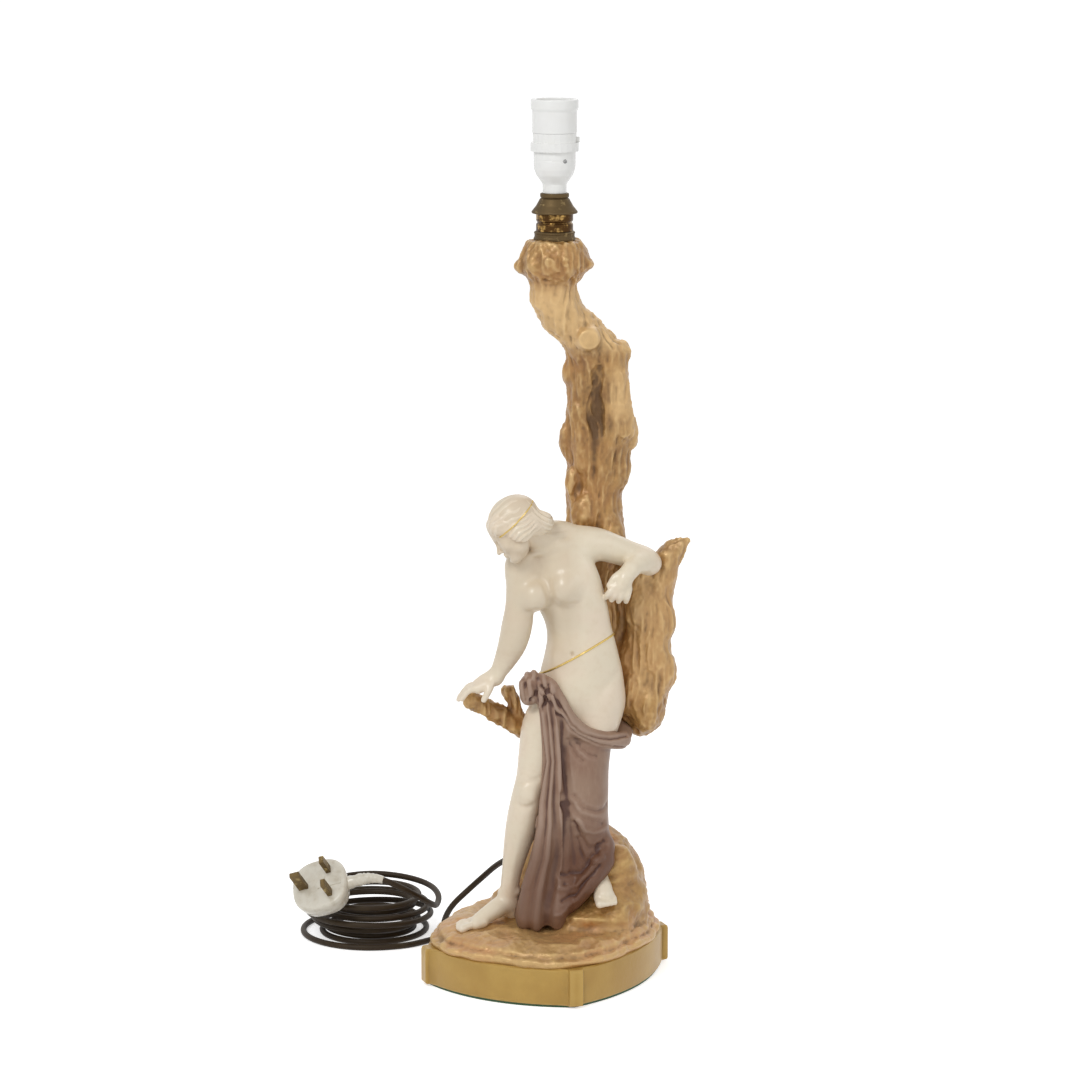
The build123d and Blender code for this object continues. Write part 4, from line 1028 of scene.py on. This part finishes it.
# Bark: cracked ridges, calmer about the knot, whose rim and the burl's two rings are drawn on it
bark = tree.cast()
from_knot = np.linalg.norm((bark.points - (33, -17, 513)) * (1, 0.8, 1), axis=1)
calm = np.maximum(ramp(from_knot, 9, 4), 0.12)
bent = bark.points + 3 * speckled(bark.points, (16, 16, 24), 20)[:, None]
ridges = 1 - 2 * np.abs(speckled(bent, (6, 6, 26), 21))
cracks = 1 - 2 * np.abs(speckled(bent, (3.2, 3.2, 13), 25))
lumps = ((15, 15, 22), 22, 1.0), ((6, 6, 9), 24, 0.6), ((1.9, 1.9, 3.2), 23, 0.4)
bark.raised(calm * (bark.lumpy(1.1 * ridges + 0.55 * cracks, *lumps) - 0.7))
knot_rim = [(34, -18, 522.5), (42.5, -17, 513), (34, -18, 503.5), (25, -18, 513), (34, -18, 522.5)]
bark.stroke(knot_rim, 1.3, 1.0, 6)
burl_reach, ring_radius, ring_points = 27.5, 2.6, 9
for angle in (-98, -72):
    spot = np.array([burl_x + burl_reach * cos(radians(angle)), burl_reach * sin(radians(angle)), 573.5])
    turns = np.linspace(0, 2 * pi, ring_points)
    ring = [spot + (ring_radius * cos(turn), 0, ring_radius * sin(turn)) for turn in turns]
    bark.stroke(ring, 0.9, 0.9, 2)
bark.hollowed(1.5, 12)
x, y, z = bark.points.T
pale_stump = 0.3 * ramp(x, 64, 6) * ramp(z, 222, 12)
pale_crook = 0.85 * ramp(z, 498, 12) * ramp(z, 560, -12)
pale_flank = 0.7 * ramp(x, 46, 8) * np.exp(-((z - 465) / 26) ** 2)
bark.marks["pale"] = pale_stump + pale_crook + pale_flank
wander = 3 * speckled(bark.points, (9, 9, 14), 26)
# Painted shade: a broad dark streak down the trunk's front, round its groove, is added to the hollow mark.
cleft_shade = 0.42 * np.exp(-((x - 39 + wander) / 7) ** 2 - ((z - 452) / 30) ** 2) * (y < 4)
bark.marks["hollow"] = np.clip(bark.marks["hollow"] + cleft_shade, 0, 1)
bark.piece("tree", bark_gilt, "bark_glaze", "trunk", "crook", "burl", "knot", "stump", "branch", "twig")

# Ground: the ledge over the plinth and the boulder under the tree
plinth_turn = radians(-28.4)
plinth_half = (67.0, 75.0)
plinth_bow = 17.0
ground = Clay((-98, -98, 30), (98, 98, 128), 1.1)
window, (x, y, z) = ground.block((-99, -99, 29), (99, 99, 129))
aside = x * cos(plinth_turn) + y * sin(plinth_turn)
ahead = y * cos(plinth_turn) - x * sin(plinth_turn)
ledge_square = 2.7  # 2 is an ellipse, and more is squarer
parts = [np.abs(part / (half + plinth_bow)) for part, half in zip((aside, ahead), plinth_half)]
out = (parts[0] ** ledge_square + parts[1] ** ledge_square) ** (1 / ledge_square)
grid = np.stack([part.ravel() for part in np.broadcast_arrays(x, y, z)], axis=1)
broken = speckled(grid, (15, 15, 7), 31).reshape(ground.depth.shape)
around = np.arctan2(ahead, aside)
scallop = 0.012 * np.abs(np.sin(5.5 * around + 0.4)) + 0.008 * np.abs(np.sin(9.5 * around + 2.0))
ledge_foot, ledge_top, mean_reach = 30.6, 46.2, 80
steps = (0.955, 0.985, 0.975, 0.915, 0.91, 0.86, 0.76)
rim = np.interp(z, (30, 34, 36.5, 38, 41, 43, 46.5), steps) + scallop
ledge = np.maximum((out - rim - 0.022 * broken) * mean_reach, z - ledge_top - 0.8 * broken)
ground.join(window, np.maximum(ledge, ledge_foot - z).astype(np.float32), 0.01)
ground.stack([
    (34, 21, 26, 62, 49, 0), (56, 22, 28, 59, 48, 0), (76, 23.5, 29, 55, 44, 0), (93, 25.5, 29, 46, 37, 0),
    (108, 26.5, 28, 33, 28, 0), (116, 26, 27, 20, 17, 0),
], 6)
for middle, radii, turn in (
    ((60, 2, 58), (21, 26, 34), (0, -12, 0)), ((48, -16, 52), (27, 20, 22), (0, -14, 20)),
    ((32, -30, 48), (25, 13, 14.5), (0, -8, 0)), ((52, -26, 50), (16, 14, 16), (0, 0, 0)),
    ((54, -4, 88), (18, 16, 18), (0, 10, 0)), ((-20, 20, 50), (26, 24, 14), (0, 0, 0)),
):
    ground.lump(middle, radii, 7, turn)
rock = ground.cast()
height = rock.points[:, 2]
strata = np.sin((height + 11 * speckled(rock.points, (24, 24, 30), 32)) * 0.5)
slope = 1 - np.abs(rock.outward()[:, 2])
crags = 1 - 2 * np.abs(speckled(rock.points, (17, 17, 12), 33))
lumps = ((8, 8, 6), 35, 0.8), ((3.2, 3.2, 2.4), 34, 0.45), ((1.4, 1.4, 1.1), 36, 0.2)
rock.raised(ramp(height, 32, 4) * (rock.lumpy(0.35 * strata * slope + 1.4 * crags, *lumps) - 0.4))
rock.hollowed(1.5)
rock.marks["pale"] = 0.35 * ramp(rock.points[:, 2], 51, -4)
rock.piece("ground", rock_gilt, "ochre_glaze", "ledge", "boulder")


def plinth_outline(steps=26, proud=2.5, width=12.0, bevel=2.6):
    """The plan: four bowed sides between four flat pilasters."""
    points = []
    half_x, half_y = plinth_half
    corners = [(-half_x, -half_y), (half_x, -half_y), (half_x, half_y), (-half_x, half_y)]
    for start, finish in zip(corners, corners[1:] + corners[:1]):
        start, finish = np.array(start), np.array(finish)
        chord = finish - start
        length = np.linalg.norm(chord)
        outward = np.array([chord[1], -chord[0]]) / length
        curve_radius = (length ** 2 / 4 + plinth_bow ** 2) / (2 * plinth_bow)
        for step in range(steps + 1):
            along = (step / steps - 0.5) * length
            bow = (curve_radius ** 2 - along ** 2) ** 0.5 - (curve_radius - plinth_bow)
            point = (start + finish) / 2 + chord / length * along + outward * bow
            near = min(np.linalg.norm(point - start), np.linalg.norm(point - finish))
            if near > width * 0.5:
                points.append(point)
        out = finish / np.linalg.norm(finish)
        across = np.array([-out[1], out[0]])
        face = finish + out * proud
        for shift in (-1, -0.86, 0, 0.86, 1):
            inset = bevel if abs(shift) == 1 else 0.0
            points.append(face - out * inset + across * shift * width / 2)
    return points


plan = plinth_outline()
if len(plan) % 2:  # the ends' facets take two sides each
    plan.append((plan[-1] + plan[0]) / 2)
plan = np.array(plan)
turn = np.array([[cos(plinth_turn), sin(plinth_turn)], [-sin(plinth_turn), cos(plinth_turn)]])
rings = []
for rise, inset in (
    (2.0, 1.2), (2.6, 0.4), (3.6, 0.0), (16, 0.0), (28.2, 0.0), (30.0, 0.5), (31.0, 1.8), (31.0, 8.0),
):
    level = plan * (1 - inset / np.linalg.norm(plan, axis=1, keepdims=True)) @ turn
    rings.append(np.column_stack([level, np.full(len(level), rise)]))
plinth = ringed(rings)
plinth.hollowed(3.0, 2)
plinth.piece("plinth_shell", plinth_gilt, "ochre_glaze", "plinth", edge=28)

# Brass gallery and lampholder, turned
turned_edge = 34  # degrees
turned_ease = 0.5
bore = 5.2  # radius
for name, finish, slot, nodes, outline in (
    ("gallery_flange", aged_brass, "aged_brass", ("gallery",), [
        (16.2, 0), (16.2, 2.2), (15.6, 2.8), (15.6, 5.2), (16.0, 5.6), (16.0, 6.4), (14.9, 7.2),
        (14.4, 7.4)]),
    ("gallery_drum", bright_brass, "aged_brass", (), [
        (14.4, 7.3), (14.4, 12.6), (13.2, 14), (14.4, 15.4), (14.4, 21.0)]),
    ("gallery_cone_cap", aged_brass, "aged_brass", ("gallery_cone",), [
        (17.4, 20.9), (17.9, 21.4), (17.9, 22.4), (17.2, 23.2), (14.2, 27.0), (11.4, 32.2), (10.2, 33.0),
        (11.2, 33.6), (11.2, 36.2), (10.6, 36.5)]),
    ("holder_cup_shell", white_plastic, "white_plastic", ("holder_cup",), [
        (9.3, 36.5), (9.4, 43.5), (10.6, 45.5), (14.2, 50.4), (15.9, 55.0), (16.3, 58.5), (16.3, 61.6),
        (16.0, 62.0), (16.3, 62.4), (16.3, 68.9)]),
):
    outline = [(bore, outline[0][1]), *outline, (bore, outline[-1][1])]
    lathed(outline, turned_ease).piece(name, finish, slot, *nodes, edge=turned_edge)
skirt = lathed([
    (15.0, 83.0), (17.2, 83.0), (17.4, 83.4), (17.4, 90.0), (17.4, 99.6), (18.3, 101.4), (18.5, 102.4),
    (18.5, 108.2), (18.0, 108.9), (15.6, 108.9), (15.0, 108.3),
], 0.35, joined=True)
skirt.piece("holder_skirt_shell", white_plastic, "white_plastic", "holder_skirt", edge=turned_edge)

# The CAD's own pieces that are seen get their finishes
for finish, names in (
    (baize, ("base_pad",)),
    (aged_brass, ("threaded_tube",)),
    (plated_steel, ("cup_screw", "spring_left", "spring_right")),
    (white_plastic, ("switch_body", "switch_bar", "holder_barrel", "contact_block")),
    (contact_brass, ("plunger_left", "plunger_right", "plug_earth_pin", "plug_line_pin", "plug_neutral_pin")),
    (plug_plastic, ("plug_fuse_carrier",)),
):
    for name in names:
        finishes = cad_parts[name].data.materials
        finishes.clear()
        finishes.append(finish)

# Plug: a rounded moulding, and the tapered sleeves at the cord's two ends
plug_middle = np.array([-185.0, 66.0, 55.0])
plug_out = np.array([-0.3177, -0.6553, 0.6853])
plug_rise = np.array([-0.9440, 0.1512, -0.2932])
plug_side = np.cross(plug_rise, plug_out)
plug_half, plug_sides, plug_square, plug_inset = 24, 64, 2.6, 0.97
rings = []
for depth, spread in (
    (-19, 0.30), (-19, 0.74), (-18.2, 0.84), (-16, 0.90), (-8, 0.97), (-3, 1.0), (-1.2, 0.985),
    (-0.3, 0.94), (0, 0.90), (0, 0.3),
):
    ring = []
    for step in range(plug_sides):
        angle = 2 * pi * step / plug_sides
        cosine, sine = cos(angle), sin(angle)
        reach = (abs(cosine) ** plug_square + abs(sine) ** plug_square) ** (-1 / plug_square)
        across = plug_half * spread * reach * (cosine * plug_side + sine * plug_rise) * plug_inset
        ring.append(plug_middle + across + depth * plug_out)
    rings.append(ring)
plug_body = ringed(rings).piece("plug_shell", plug_plastic, "plug_plastic", "plug_body", edge=40)


def cord_stretch(start, finish, steps=12):
    """Points on the cord's line, at even steps between two lengths along it."""
    reach = np.concatenate([[0], np.cumsum(np.linalg.norm(np.diff(cord_line, axis=0), axis=1))])
    places = np.linspace(start, finish, steps)
    return np.stack([np.interp(places, reach, column) for column in cord_line.T], axis=1)


def sleeve(path, thick, thin, ribs=7):
    """A tapered sleeve along the cord, with a rib here and there."""
    line = smoothed(path, 3)
    shares = np.linspace(0, 1, len(line))
    rib = 0.3 * np.sign(np.sin(shares * ribs * 2 * pi)) * (1 - shares)
    return tube(line, thick + (thin - thick) * shares + rib, 20)


mouth = cord_line[-1]
along_cord = cord_stretch(cord_length / mm - 2, cord_length / mm - 18, 8)
relief = sleeve([mouth + 14 * plug_rise, mouth + 7 * plug_rise, mouth, *along_cord], 5.4, 3.1)
relief = relief.piece("plug_sleeve", plug_plastic, "plug_plastic", "plug_relief")
bush = sleeve(cord_stretch(0, 22), 5.6, 3.1)
bush.piece("cord_bush_sleeve", cord_plastic, "cord_plastic", "cord_bush")

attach(cord, "lamp")
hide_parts("cord_lead", "cord_coil")

# Studio: a pale floor, a soft key from the left, a fill and an even sky
lamp_middle = (0, 0, 0.35)
floor_half = 30
corners = [(floor_half * x, floor_half * y, 0) for x, y in ((-1, -1), (1, -1), (1, 1), (-1, 1))]
floor_mesh = bpy.data.meshes.new("floor")
floor_mesh.from_pydata(corners, [], [(0, 1, 2, 3)])
floor = shown("floor", floor_mesh)
paper = Finish("floor_paper", Roughness=0.9, Base_Color=(0.90, 0.90, 0.90, 1.0), Emission_Strength=1.0)
paper.feed(Emission_Color=paper.mixed(paper.backdrop(), (0, 0, 0), (0.58, 0.58, 0.58)))
floor_mesh.materials.append(paper.material)

sky = Sky("sky")
sky.shader.inputs["Color"].default_value = (1.0, 1.0, 1.0, 1.0)
brightness = {"Value": sky.backdrop(), "To Min": 0.50, "To Max": 1.0}
sky.feed(Strength=sky.node("ShaderNodeMapRange", None, brightness))
bpy.context.scene.world = sky.world
for name, place, size, energy in (
    ("key", (-1.2, -1.9, 2.4), 1.0, 30),
    ("fill", (1.8, -1.4, 1.5), 1.4, 7),
    ("back", (0.6, 1.8, 1.9), 1.4, 6),
):
    light = bpy.data.lights.new(name, "AREA")
    light.size = size
    light.energy = energy
    aimed(shown(name, light), place, lamp_middle)

bpy.context.scene.view_settings.view_transform = "Standard"
